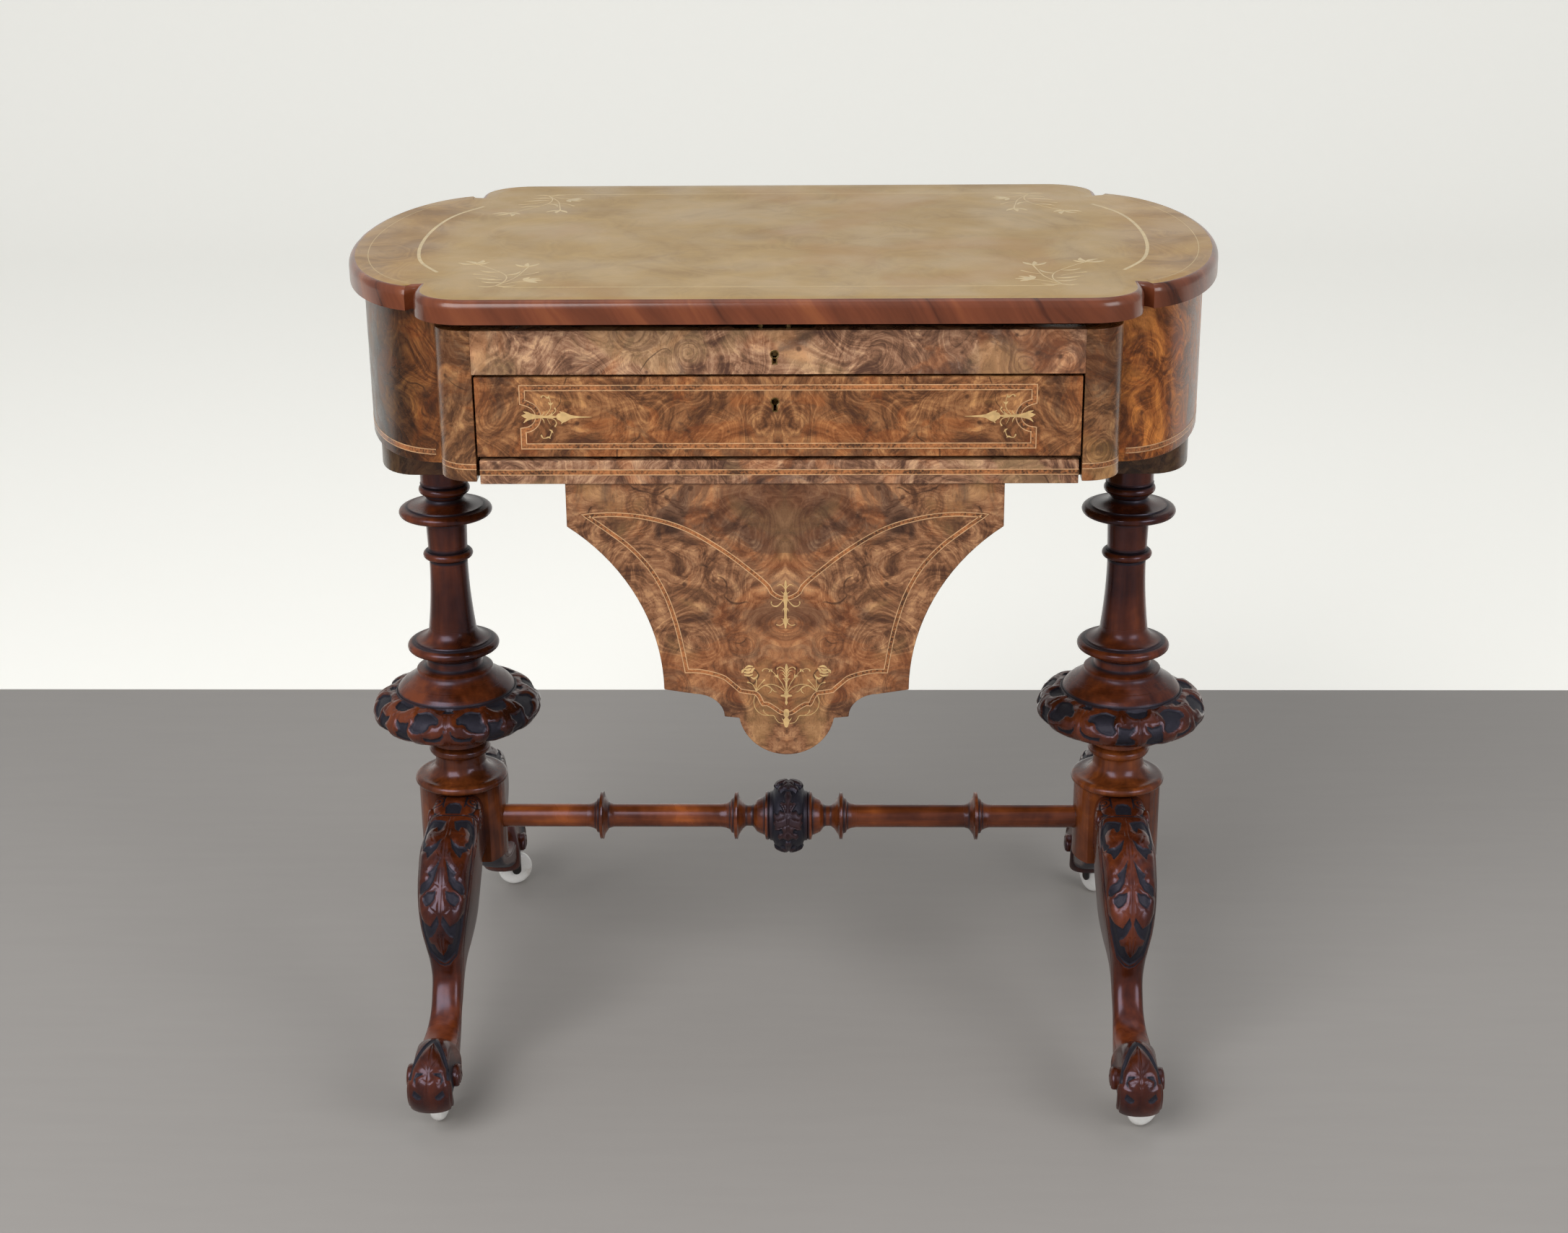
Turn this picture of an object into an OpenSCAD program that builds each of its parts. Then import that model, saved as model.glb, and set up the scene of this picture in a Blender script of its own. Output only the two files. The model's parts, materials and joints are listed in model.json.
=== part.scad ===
// Work table with a hinged top, one drawer and a sliding work box.
// X runs to the right, Y to the back, Z up. The origin is on the floor, under the middle.

/* [Top] */
// Width of the top over both bowed ends
top_w = 707; // [680:1:740]
// Depth of the top over its middle part
top_d = 459; // [440:1:480]
// Thickness of the top
top_t = 18; // [16:0.5:22]
// How far each bowed end stands out beyond the middle part
bow_out = 78.5; // [74:0.5:84]
// Depth of the top where the bowed ends begin
bow_d = 374; // [364:1:384]
// Radius of the middle part's corners
corner_r = 42; // [38:1:46]
// Depth of the nick between the middle part and each end
nick_d = 13; // [8:1:18]
// Height of the moulding round the top's upper edge
edge_h = 6.4; // [4:0.2:8]
// Inset of that moulding at the top surface
edge_in = 5; // [3:0.5:7]
// Width of the cross-banded edging strip
band_w = 16; // [12:1:20]

/* [Case] */
// How far the top overhangs the case at front and back
overhang = 14.2; // [12:0.2:16]
// How far the top overhangs the case at its bowed ends
bow_overhang = 11.2; // [9:0.2:13]
// Height of the case's bowed ends
case_h = 122.7; // [120:0.1:130]
// Thickness of the bowed shells
shell_t = 12; // [10:0.5:14]
// How far the front rail and posts stop below the bowed ends
rail_drop = 7.7; // [6:0.1:9]
// How far the corner posts reach below the bowed ends
post_drop = 3; // [2:0.5:4]
// Width of the corner posts at the front
post_w = 30.3; // [29:0.1:33]
// Radius of the posts' outer corner
post_r = 27; // [22:1:29]
// Thickness of the boards beside the drawer
side_t = 10; // [8:0.5:12]
// Thickness of the front rail over the drawer
rail_t = 16; // [15:0.5:18]
// Height of the front rail over the drawer
rail_h = 33.7; // [33:0.1:36]
// Thickness of the back board
back_t = 12; // [10:0.5:14]
// Thickness of the floors in the bowed ends
floor_t = 8; // [6:0.5:10]

/* [Fitted tray] */
// Thickness of the tray floor
tray_t = 5; // [4:0.5:6]
// Thickness of the tray's dividers
divider_t = 5; // [3:0.5:6]
// Height of the tray's dividers
divider_h = 25; // [18:1:27]
// Half the width of the tray's middle bay
tray_mid_x = 90; // [70:1:110]

/* [Drawer] */
// Height of the drawer front
drawer_h = 61.9; // [58:0.1:62]
// Thickness of the drawer front
front_t = 17; // [16:0.5:20]
// Space behind the closed drawer
drawer_behind = 23.6; // [10:0.2:80]
// Thickness of the drawer sides and back
drawer_side_t = 9; // [7:0.5:10]
// Thickness of the drawer bottom
drawer_bottom_t = 5; // [4:0.5:6]
// Gap round the drawer front
drawer_gap = 1.5; // [1:0.1:2]
// Gap over the drawer front
drawer_top_gap = 2.2; // [1.5:0.1:3]

/* [Sliding work box] */
// Height of its front rail
box_rail_h = 18.7; // [17:0.1:20]
// Gap between the drawer and that rail
box_gap = 3.4; // [3:0.1:4]
// Thickness of its shaped panels
panel_t = 12; // [8:0.5:14]
// How far the shaped panels stand in from the sides of the opening
panel_in = 62.5; // [58:0.5:70]
// How far the shaped panels sit to the right of the middle
panel_off = 4.5; // [-5:0.5:6]
// Height of the panels' straight shoulders
shoulder_h = 35; // [28:1:40]
// Radius of the hollow curve down each side
hollow_r = 164; // [160:1:168]
// Height of the hollow curve
hollow_h = 135.5; // [132:0.5:138]
// Radius of the round drop at the bottom
drop_r = 38; // [34:1:42]
// Thickness of the box's bent sides and its bottom
box_side_t = 6; // [4:0.5:8]
// Space behind the closed box
box_behind = 73.6; // [40:0.2:120]
// Thickness of the two slide boards on the box
slide_t = 6.3; // [5:0.1:6.4]
// How far the ledges under the slide boards stand in
ledge_w = 14; // [10:1:18]
// Thickness of those ledges
ledge_t = 5; // [4:0.5:5]

/* [Columns] */
// How far the columns stand outside the middle part's sides
column_out = 18.5; // [16:0.5:21]
// Thickness of the bearer under each bowed end
bearer_t = 32; // [28:1:36]
// Half the depth of the bearer
bearer_y = 105; // [90:1:115]
// How far the bearer's outer face stands inside the case
bearer_in = 10; // [6:0.5:12]
// Width of the bearer's rounded corners
bearer_r = 34; // [25:1:40]
// Depth of the bearer's rounded corners
bearer_round = 50; // [30:1:70]
// Height of the upper column
column_h = 219; // [210:1:240]
// Height of the carved collar
collar_h = 54; // [50:1:58]
// Radius of the carved collar
collar_r = 74; // [68:0.5:78]
// Radius of the column's flat discs
disc_r = 40; // [37:0.1:43]
// Radius of the column's shaft at its waist
shaft_r = 16.5; // [15:0.1:18]
// Height of the turned neck over the block
neck_h = 45; // [42:1:50]
// Height of the block that carries the legs
block_h = 70; // [66:1:76]
// Radius of the block
block_r = 38; // [36:0.5:39]
// Height of the block's underside over the floor
block_z = 149; // [140:1:160]
// How far the block's two flats lie from its middle
flat_y = 27; // [25:0.5:29]
// Radius of the pegs that join the column's pieces
peg_r = 12; // [9:0.5:14]

/* [Stretcher] */
// Height of the stretcher's axis over the floor
stretcher_z = 183; // [176:1:190]
// Radius of the stretcher's plain parts
stretcher_r = 10.4; // [9:0.2:12]
// Radius of its rings
stretcher_ring_r = 22.5; // [20:0.5:25]
// Distance of the outer rings from the middle
stretcher_ring_x = 168; // [150:1:185]
// Radius of the carved boss in its middle
boss_r = 33.5; // [30:0.5:37]
// How deep the stretcher's ends sit in the blocks
stretcher_seat = 15; // [10:1:20]

/* [Legs] */
// Distance of the foot scroll's centre from the column's middle
foot_y = 222; // [221:0.5:224]
// Half the length of the foot scroll
scroll_l = 35; // [34:0.5:37]
// Half the height of the foot scroll
scroll_r = 31; // [30:0.5:32]
// Height of the foot scroll's centre
scroll_z = 46; // [44:1:48]
// Half the width of the foot scroll
scroll_x = 19; // [18:0.5:21]
// How far the foot scroll is rounded off towards its sides
scroll_round = 9; // [5:0.5:11]
// Radius of the small bosses on the scrolls
eye_r = 11; // [9:0.5:12]
// How far the bosses stand out from the scrolls
eye_h = 4.5; // [2:0.5:5]
// Half the width of the leg at the knee
knee_x = 22.5; // [20:0.5:23]
// Half the width of the leg at the ankle
ankle_x = 13; // [11:0.5:15]

/* [Castors] */
// Diameter of the castor wheels
wheel_d = 35; // [31:0.5:36]
// Width of the castor wheels
wheel_w = 11; // [9:0.5:12]
// Distance between the wheel's axle and the swivel pin
trail = 10; // [7:0.5:10]
// Radius of the swivel pin
pintle_r = 4; // [3:0.25:5]
// Radius of the wheel's axle
axle_r = 2; // [1.5:0.25:2.5]
// Turn of the front left castor as it stands
turn_fl = 80; // [0:5:355]
// Turn of the front right castor as it stands
turn_fr = 40; // [0:5:355]
// Turn of the back left castor as it stands
turn_bl = 20; // [0:5:355]
// Turn of the back right castor as it stands
turn_br = 300; // [0:5:355]

/* [Hinges] */
// Length of each hinge
hinge_l = 50; // [40:5:60]
// Distance of each hinge from the middle
hinge_x = 150; // [120:5:180]
// Radius of the hinge knuckles
knuckle_r = 2.6; // [2.4:0.1:2.8]
// Radius of the hinge pin
hinge_pin_r = 1.2; // [1:0.1:1.4]
// Thickness of the hinge leaves
leaf_t = 1.5; // [1.2:0.1:1.8]
// Width of the hinge leaves
leaf_w = 16; // [14:1:18]

/* [Locks] */
// Where the keyholes lie beside the middle
key_x = -2; // [-4:0.5:4]
// Width of the lock boxes
lock_w = 60; // [54:1:66]
// Height of the lock boxes
lock_h = 24; // [22:0.5:24.5]
// Depth of the lock boxes
lock_d = 9.5; // [8.5:0.5:10]
// Distance between the two brass prongs of the top's lock
prong_gap = 21; // [18:1:24]
// Travel of the lock bolts
bolt_travel = 5; // [3:0.5:5]

/* [Hidden] */

// Clearances
glue_gap = 0.05;     // round a peg that is glued in
slide_gap = 0.2;     // under a piece that slides on another
run_gap = 0.05;      // round a pin that turns in a bore
rest_gap = 0.3;      // under the closed top
eps = 0.01;          // by which a cut runs past a face

// Levels, from the floor up
block_top = block_z + block_h;
collar_z = block_top + neck_h;
column_z = collar_z + collar_h;
bearer_z = column_z + column_h;
case_z = bearer_z + bearer_t;
case_top = case_z + case_h;
rail_top = case_top - rail_drop;
post_z = case_z - post_drop;
top_z = case_top + rest_gap;
rail_z = rail_top - rail_h;
drawer_top = rail_z - drawer_top_gap;
drawer_z = drawer_top - drawer_h;
box_rail_top = drawer_z - box_gap;
box_rail_z = box_rail_top - box_rail_h;

// Plan of the top and the case
bow_centre_in = 10;  // from the middle part's side to the centre of the end's ellipse
bow_start = 78;      // angle at which the ellipse leaves the nick
shell_out = 2;       // by which the shells' cheeks stand out beyond the overhang
front_y = top_d / 2;
case_y = front_y - overhang;
break_x = top_w / 2 - bow_out;
case_x = break_x - overhang;
bay_x = case_x - post_w;
bow_cx = break_x - bow_centre_in;
bow_a = top_w / 2 - bow_cx;
bow_b = bow_d / 2;
shell_a = bow_a - bow_overhang;
shell_b = bow_b - overhang + shell_out;
case_w = bow_cx + shell_a;
post_back_y = shell_b - shell_t;
inner_y = case_y - back_t;
column_x = break_x + column_out;
castor_y = foot_y;
arc_n = 10;
bow_n = 16;

// One quarter of the top's outline, from the front's middle round to the end's middle.
// The value in is how far the outline is drawn in.
function top_quarter(in) = concat(
    [for (i = [0:arc_n]) let (a = 90 - 90 * i / arc_n, r = corner_r - in)
        [break_x - corner_r + r * cos(a), front_y - corner_r + r * sin(a)]],
    [[break_x - in, bow_b - nick_d - in], [break_x + nick_d / 3, bow_b - nick_d * 0.8 - in]],
    [for (i = [0:bow_n]) let (a = bow_start * (1 - i / bow_n))
        [bow_cx + (bow_a - in) * cos(a), (bow_b - in) * sin(a)]]);

function flip_x(pts) = [for (p = pts) [-p[0], p[1]]];
function flip_y(pts) = [for (p = pts) [p[0], -p[1]]];
function backwards(pts) = [for (i = [len(pts) - 1:-1:0]) pts[i]];
// All but the last point, which the next quarter repeats.
function open_end(pts) = [for (i = [0:len(pts) - 2]) pts[i]];

function top_ring(in) = let (q = top_quarter(in), h = open_end(q))
    concat(q, flip_y(backwards(h)), flip_y(flip_x(h)), flip_x(backwards(h)), flip_x([h[0]]));

// Half of a bowed end in plan, with straight cheeks back to the line x = from_x.
module bow_plan(from_x, a, b) {
    polygon(concat([[from_x, b]],
        [for (i = [0:2 * bow_n]) let (t = 90 - 90 * i / bow_n) [bow_cx + a * cos(t), b * sin(t)]],
        [[from_x, -b]]));
}

// Places a child at both ends of the table, the second as a mirror image.
module both_ends() {
    children();
    mirror([1, 0, 0]) children();
}

module box_at(x0, x1, y0, y1, z0, z1) {
    translate([x0, y0, z0]) cube([x1 - x0, y1 - y0, z1 - z0]);
}

walnut = "#8f5f38";
walnut_pale = "#a97c49";
mahogany = "#5a2a1b";
ebonised = "#2b211f";
deal = "#b98f60";
brass = "#b5924c";
iron = "#3a3632";
ceramic = "#ece6da";

// Top

// Mould round the edge: how far it is drawn in at each height above the top's underside.
mould_n = 5;
mould = concat([[0, 0], [0, top_t - edge_h]],
    [for (i = [1:mould_n]) let (a = 90 * i / mould_n)
        [edge_in * (1 - cos(a)), top_t - edge_h + edge_h * sin(a)]]);

module top_edge_band() {
    rings = concat([for (m = mould) [for (p = top_ring(m[0])) [p[0], p[1], top_z + m[1]]]],
        [[for (p = top_ring(band_w)) [p[0], p[1], top_z + top_t]]],
        [[for (p = top_ring(band_w)) [p[0], p[1], top_z]]]);
    n = len(rings[0]);
    m = len(rings);
    color(mahogany) difference() {
        polyhedron([for (r = rings) for (p = r) p],
            [for (j = [0:m - 1]) for (i = [0:n - 1]) for (h = [0, 1]) let (
                a = j * n + i, b = j * n + (i + 1) % n,
                c = ((j + 1) % m) * n + (i + 1) % n, d = ((j + 1) % m) * n + i)
                h == 0 ? [a, b, c] : [a, c, d]]);
        hinge_grooves();
    }
}

module top_board() {
    color(walnut_pale) difference() {
        translate([0, 0, top_z]) linear_extrude(top_t) polygon(top_ring(band_w));
        for (s = [-1, 1]) translate([s * hinge_x, 0, 0])
            box_at(-hinge_l / 2, hinge_l / 2, leaf_y, hinge_y, top_z - eps, top_z + leaf_t);
        for (x = screw_xs) translate([x, screw_y, top_z])
            cylinder(r = screw_r + glue_gap, h = screw_l, $fn = 32);
        box_at(key_x - plate_x, key_x + plate_x, plate_y - plate_d / 2, plate_y + plate_d / 2,
            top_z - eps, top_z + leaf_t);
    }
}

// Hinges between the top and the back board

hinge_y = case_y + knuckle_r + rest_gap;
hinge_z = top_z - rest_gap / 2;
leaf_y = hinge_y - leaf_w;
knuckle_l = hinge_l / 5;
knuckle_gap = 0.2;
screw_r = 1.4;
screw_head_r = 2.7;
screw_l = 12;
screw_tip = 2;
screw_y = leaf_y + leaf_w * 0.4;
screw_step = hinge_l * 0.34;
screw_xs = [for (s = [-1, 1]) for (k = [-1, 0, 1]) s * hinge_x + k * screw_step];

module hinge_grooves() {
    for (s = [-1, 1]) {
        translate([s * hinge_x - hinge_l / 2 - rest_gap, hinge_y, hinge_z]) rotate([0, 90, 0])
            cylinder(r = knuckle_r + rest_gap, h = hinge_l + 2 * rest_gap, $fn = 40);
        translate([s * hinge_x, 0, 0])
            box_at(-hinge_l / 2, hinge_l / 2, leaf_y, hinge_y, top_z - eps, top_z + leaf_t);
    }
}

// One run of knuckles: the case holds knuckles 0, 2 and 4 and the top holds 1 and 3.
module knuckles(first, last) {
    for (k = [first:2:last])
        translate([-hinge_l / 2 + k * knuckle_l + knuckle_gap / 2, hinge_y, hinge_z])
            rotate([0, 90, 0]) cylinder(r = knuckle_r, h = knuckle_l - knuckle_gap, $fn = 40);
}

module leaf_cuts(first, last, z0) {
    for (k = [first:2:last])
        translate([-hinge_l / 2 + k * knuckle_l, 0, 0])
            box_at(-knuckle_gap / 2, knuckle_l + knuckle_gap / 2, hinge_y - knuckle_r - rest_gap,
                hinge_y + knuckle_r, z0 - leaf_t - eps, z0 + leaf_t + eps);
}

module case_hinge_leaves() {
    color(brass) for (s = [-1, 1]) translate([s * hinge_x, 0, 0]) difference() {
        union() {
            difference() {
                box_at(-hinge_l / 2, hinge_l / 2, leaf_y, hinge_y, case_top - leaf_t, case_top);
                leaf_cuts(1, 3, case_top);
            }
            knuckles(0, 4);
            translate([-hinge_l / 2, hinge_y, hinge_z]) rotate([0, 90, 0])
                cylinder(r = hinge_pin_r, h = hinge_l, $fn = 32);
        }
        for (k = [-1, 0, 1]) translate([k * screw_step, screw_y, case_top])
            screw_hole(-1);
    }
}

module top_hinge_leaves() {
    color(brass) for (s = [-1, 1]) translate([s * hinge_x, 0, 0]) difference() {
        union() {
            difference() {
                box_at(-hinge_l / 2, hinge_l / 2, leaf_y, hinge_y, top_z, top_z + leaf_t);
                leaf_cuts(0, 4, top_z);
            }
            knuckles(1, 3);
        }
        translate([-hinge_l / 2 - eps, hinge_y, hinge_z]) rotate([0, 90, 0])
            cylinder(r = hinge_pin_r + run_gap, h = hinge_l + 2 * eps, $fn = 32);
        for (k = [-1, 0, 1]) translate([k * screw_step, screw_y, top_z])
            screw_hole(1);
    }
}

// A countersunk screw that points up for dir = 1 and down for dir = -1.
module screw(dir) {
    rotate([dir > 0 ? 0 : 180, 0, 0]) rotate_extrude($fn = 32)
        polygon([[0, 0], [screw_head_r, 0], [screw_r, leaf_t], [screw_r, screw_l - screw_tip],
            [0, screw_l]]);
}

module screw_hole(dir) {
    rotate([dir > 0 ? 0 : 180, 0, 0]) rotate_extrude($fn = 32)
        polygon([[0, -eps], [screw_head_r + glue_gap, -eps], [screw_head_r + glue_gap, 0],
            [screw_r + glue_gap, leaf_t], [screw_r + glue_gap, leaf_t + eps], [0, leaf_t + eps]]);
}

module case_hinge_screws() {
    color(brass) for (x = screw_xs) translate([x, screw_y, case_top]) screw(-1);
}

module top_hinge_screws() {
    color(brass) for (x = screw_xs) translate([x, screw_y, top_z]) screw(1);
}

// Locks

lock_back_y = -case_y + rail_t;
lock_y = lock_back_y - lock_d;
lock_wall = 1.2;
plate_x = prong_gap / 2 + 9;   // half the length of the prongs' plate
plate_d = 12;
prong_w = 3;
prong_d = 4;
prong_l = 22;
prong_play = 1.2;
prong_foot = 2;      // metal under a prong's window
window_h = 5;
window_z = top_z - prong_l + prong_foot;
finger_d = 1.6;
finger_play = 0.5;
plate_y = lock_back_y - lock_d / 2;
key_z = rail_z + rail_h * 0.45;
drawer_key_drop = 19.4;
drawer_key_z = drawer_top - drawer_key_drop;
bolt_h = 4.5;
bolt_bar_z = rail_top - lock_h + lock_wall + finger_play;

// Keyhole: radius of its eye, half the width and the reach of its slot.
key_r = 2.6;
key_slot_x = 1.2;
key_slot_l = 7;
lining_t = 0.9;
lining_d = 5;

// The keyhole in outline, grown by the value grow.
module keyhole(grow) {
    x = key_slot_x + grow;
    circle(r = key_r + grow, $fn = 32);
    translate([-x, -key_slot_l - grow]) square([2 * x, key_slot_l + grow]);
}

// The lining of a keyhole that lies at height z in a face at the front.
module keyhole_lining(z) {
    color(brass) translate([key_x, -case_y + lining_d, z]) rotate([90, 0, 0])
        linear_extrude(lining_d) difference() {
            keyhole(lining_t);
            keyhole(0);
        }
}

module keyhole_cut(z) {
    translate([key_x, -case_y + lining_d, z]) rotate([90, 0, 0])
        linear_extrude(lining_d + eps) keyhole(lining_t);
    translate([key_x, lock_back_y, z]) rotate([90, 0, 0])
        linear_extrude(rail_t + eps) keyhole(0);
}

module top_keyhole_lining() { keyhole_lining(key_z); }
module drawer_keyhole_lining() { keyhole_lining(drawer_key_z); }

// Both brass prongs hang from a plate let into the top. Each has a window for the bolt.
module lock_prongs() {
    color(brass) difference() {
        union() {
            box_at(key_x - plate_x, key_x + plate_x, plate_y - plate_d / 2,
                plate_y + plate_d / 2, top_z, top_z + leaf_t);
            for (s = [-1, 1]) translate([key_x + s * prong_gap / 2, plate_y, 0])
                box_at(-prong_w / 2, prong_w / 2, -prong_d / 2, prong_d / 2,
                    top_z - prong_l, top_z);
        }
        for (s = [-1, 1]) translate([key_x + s * prong_gap / 2, plate_y, 0])
            box_at(-prong_w, prong_w, -finger_d / 2 - finger_play,
                finger_d / 2 + finger_play, window_z, window_z + window_h);
    }
}

module top_lock_case() {
    color(brass) difference() {
        box_at(key_x - lock_w / 2, key_x + lock_w / 2, lock_y, lock_back_y,
            rail_top - lock_h, rail_top);
        box_at(key_x - lock_w / 2 + lock_wall, key_x + lock_w / 2 - lock_wall,
            lock_y + lock_wall, lock_back_y - lock_wall,
            rail_top - lock_h + lock_wall, rail_top - lock_wall);
        for (s = [-1, 1]) translate([key_x + s * prong_gap / 2, plate_y, 0])
            box_at(-prong_w / 2 - prong_play, prong_w / 2 + prong_play,
                -prong_d / 2 - prong_play, prong_d / 2 + prong_play,
                rail_top - lock_h / 2, rail_top + eps);
        translate([key_x, lock_y + lock_wall + eps, key_z]) rotate([90, 0, 0])
            linear_extrude(lock_wall + 2 * eps) keyhole(0);
    }
}

// A bar with two fingers that slide sideways into the prongs' windows. Each finger is long
// enough that the post behind it stops short of the prong.
module top_lock_bolt() {
    post_t = 2;
    clear = 0.6;         // between a finger and its prong when the lock is open
    finger_l = bolt_travel + post_t + clear;
    finger_top = window_z + window_h - finger_play;
    bar_x = key_x - prong_gap / 2 - prong_w / 2 - clear - finger_l;
    color(brass) for (s = [-1, 1]) {
        tip = key_x + s * prong_gap / 2 - prong_w / 2 - clear;
        box_at(tip - finger_l, tip, plate_y - finger_d / 2, plate_y + finger_d / 2,
            window_z + finger_play, finger_top);
        box_at(tip - finger_l, tip - finger_l + post_t, plate_y - finger_d / 2,
            plate_y + finger_d / 2, bolt_bar_z, finger_top);
    }
    color(brass) box_at(bar_x, key_x + prong_gap / 2, plate_y - finger_d / 2,
        plate_y + finger_d / 2, bolt_bar_z, bolt_bar_z + bolt_h);
}

drawer_lock_back = -case_y + front_t;
drawer_lock_y = drawer_lock_back - lock_d;
drawer_bolt_x = 12;  // half the width of the drawer's bolt
drawer_bolt_d = 3;
bolt_play = 0.3;
mortise_play = 0.8;  // round the bolt where it enters the rail
bolt_y = drawer_lock_back - lock_d / 2;

module drawer_lock_case() {
    color(brass) difference() {
        box_at(key_x - lock_w / 2, key_x + lock_w / 2, drawer_lock_y, drawer_lock_back,
            drawer_top - lock_h, drawer_top);
        box_at(key_x - lock_w / 2 + lock_wall, key_x + lock_w / 2 - lock_wall,
            drawer_lock_y + lock_wall, drawer_lock_back - lock_wall,
            drawer_top - lock_h + lock_wall, drawer_top - lock_wall);
        bolt_slot(bolt_play, drawer_top - lock_h / 2, drawer_top + eps);
        translate([key_x, drawer_lock_y + lock_wall + eps, drawer_key_z]) rotate([90, 0, 0])
            linear_extrude(lock_wall + 2 * eps) keyhole(0);
    }
}

// The drawer's bolt, or with some play the slot for it, from z0 to z1.
module bolt_slot(play, z0, z1) {
    x = drawer_bolt_x + play;
    y = drawer_bolt_d / 2 + play;
    box_at(key_x - x, key_x + x, bolt_y - y, bolt_y + y, z0, z1);
}

// The bolt rises out of the lock into the rail over the drawer.
module drawer_lock_bolt() {
    color(brass) bolt_slot(0, drawer_top - lock_h / 2 + 1, drawer_top);
}

// Case

module end_shell(side) {
    color(walnut) scale_x(side) translate([0, 0, case_z]) linear_extrude(case_h) difference() {
        bow_plan(case_x, shell_a, shell_b);
        bow_plan(case_x - eps, shell_a - shell_t, shell_b - shell_t);
    }
}

// Mirrors a child to the left for side = -1.
module scale_x(side) {
    if (side < 0) mirror([1, 0, 0]) children();
    else children();
}

module end_shell_left() { end_shell(-1); }
module end_shell_right() { end_shell(1); }

// The floors lie on the bearers, between the shells and the boards beside the drawer.
module end_floors() {
    color(deal) both_ends() translate([0, 0, case_z]) linear_extrude(floor_t)
        intersection() {
            bow_plan(bay_x + side_t, shell_a - shell_t, shell_b - shell_t);
            translate([bay_x + side_t, -post_back_y])
                square([case_w, 2 * post_back_y]);
        }
}

module post_plan() {
    c = [case_x - post_r, case_y - post_r];
    polygon(concat([[bay_x, post_back_y], [bay_x, case_y]],
        [for (i = [0:arc_n]) let (a = 90 - 90 * i / arc_n) c + post_r * [cos(a), sin(a)]],
        [[case_x, post_back_y]]));
}

module post(side_x, side_y) {
    color(walnut) translate([0, 0, post_z]) linear_extrude(rail_top - post_z)
        scale_2d(side_x, side_y) post_plan();
}

// Mirrors a flat child left for side_x = -1 and to the front for side_y = -1.
module scale_2d(side_x, side_y) {
    mirror([side_x < 0 ? 1 : 0, 0]) mirror([0, side_y < 0 ? 1 : 0]) children();
}

module post_front_left() { post(-1, -1); }
module post_front_right() { post(1, -1); }
module back_posts() {
    post(-1, 1);
    post(1, 1);
}

module side_boards() {
    color(deal) both_ends() box_at(bay_x, bay_x + side_t, -post_back_y, post_back_y, case_z,
        rail_top);
}

module lock_rail() {
    color(walnut) difference() {
        box_at(-bay_x, bay_x, -case_y, lock_back_y, rail_z, rail_top);
        box_at(key_x - lock_w / 2, key_x + lock_w / 2, lock_y, lock_back_y + eps,
            rail_top - lock_h, rail_top + eps);
        keyhole_cut(key_z);
        bolt_slot(mortise_play, rail_z - eps, rail_z + bolt_travel + 1 - drawer_top_gap);
    }
}

module back_board() {
    color(deal) difference() {
        box_at(-bay_x, bay_x, inner_y, case_y, post_z, case_top);
        for (s = [-1, 1]) translate([s * hinge_x, 0, 0])
            box_at(-hinge_l / 2, hinge_l / 2, leaf_y, hinge_y, case_top - leaf_t, case_top + eps);
        for (x = screw_xs) translate([x, screw_y, case_top - screw_l])
            cylinder(r = screw_r + glue_gap, h = screw_l + eps, $fn = 32);
    }
}

module tray_floor() {
    color(deal) box_at(-bay_x, bay_x, lock_back_y, inner_y, rail_z, rail_z + tray_t);
}

tray_z = rail_z + tray_t;
tray_bay = (inner_y - lock_back_y) / 3;

module tray_dividers() {
    color(mahogany) {
        for (s = [-1, 1]) translate([s * tray_mid_x, 0, 0])
            box_at(-divider_t / 2, divider_t / 2, lock_back_y, inner_y, tray_z,
                tray_z + divider_h);
        for (k = [1, 2]) translate([0, lock_back_y + k * tray_bay, 0])
            box_at(-tray_mid_x + divider_t / 2, tray_mid_x - divider_t / 2, -divider_t / 2,
                divider_t / 2, tray_z, tray_z + divider_h);
        both_ends() translate([0, (lock_back_y + inner_y) / 2, 0])
            box_at(tray_mid_x + divider_t / 2, bay_x, -divider_t / 2, divider_t / 2, tray_z,
                tray_z + divider_h);
    }
}

// Drawer

drawer_side_gap = 3.5;   // between the drawer's sides and the case
drawer_side_in = 2;      // by which the sides stand up from the front's lower edge
drawer_side_low = 5;     // by which they stop short of its upper edge
drawer_groove = 4;       // from the sides' lower edge to the bottom
drawer_side_x = bay_x - drawer_side_gap;
drawer_side_z = drawer_z + drawer_side_in;
drawer_side_h = drawer_h - drawer_side_in - drawer_side_low;
drawer_back_y = inner_y - drawer_behind;
drawer_bottom_z = drawer_side_z + drawer_groove;

module drawer_front() {
    color(walnut) difference() {
        box_at(-bay_x + drawer_gap, bay_x - drawer_gap, -case_y, drawer_lock_back, drawer_z,
            drawer_top);
        box_at(key_x - lock_w / 2, key_x + lock_w / 2, drawer_lock_y, drawer_lock_back + eps,
            drawer_top - lock_h, drawer_top + eps);
        keyhole_cut(drawer_key_z);
    }
}

module drawer_sides() {
    color(deal) both_ends() box_at(drawer_side_x - drawer_side_t, drawer_side_x,
        drawer_lock_back, drawer_back_y, drawer_side_z, drawer_side_z + drawer_side_h);
}

module drawer_back() {
    color(deal) box_at(-drawer_side_x + drawer_side_t, drawer_side_x - drawer_side_t,
        drawer_back_y - drawer_side_t, drawer_back_y, drawer_side_z,
        drawer_side_z + drawer_side_h);
}

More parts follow.
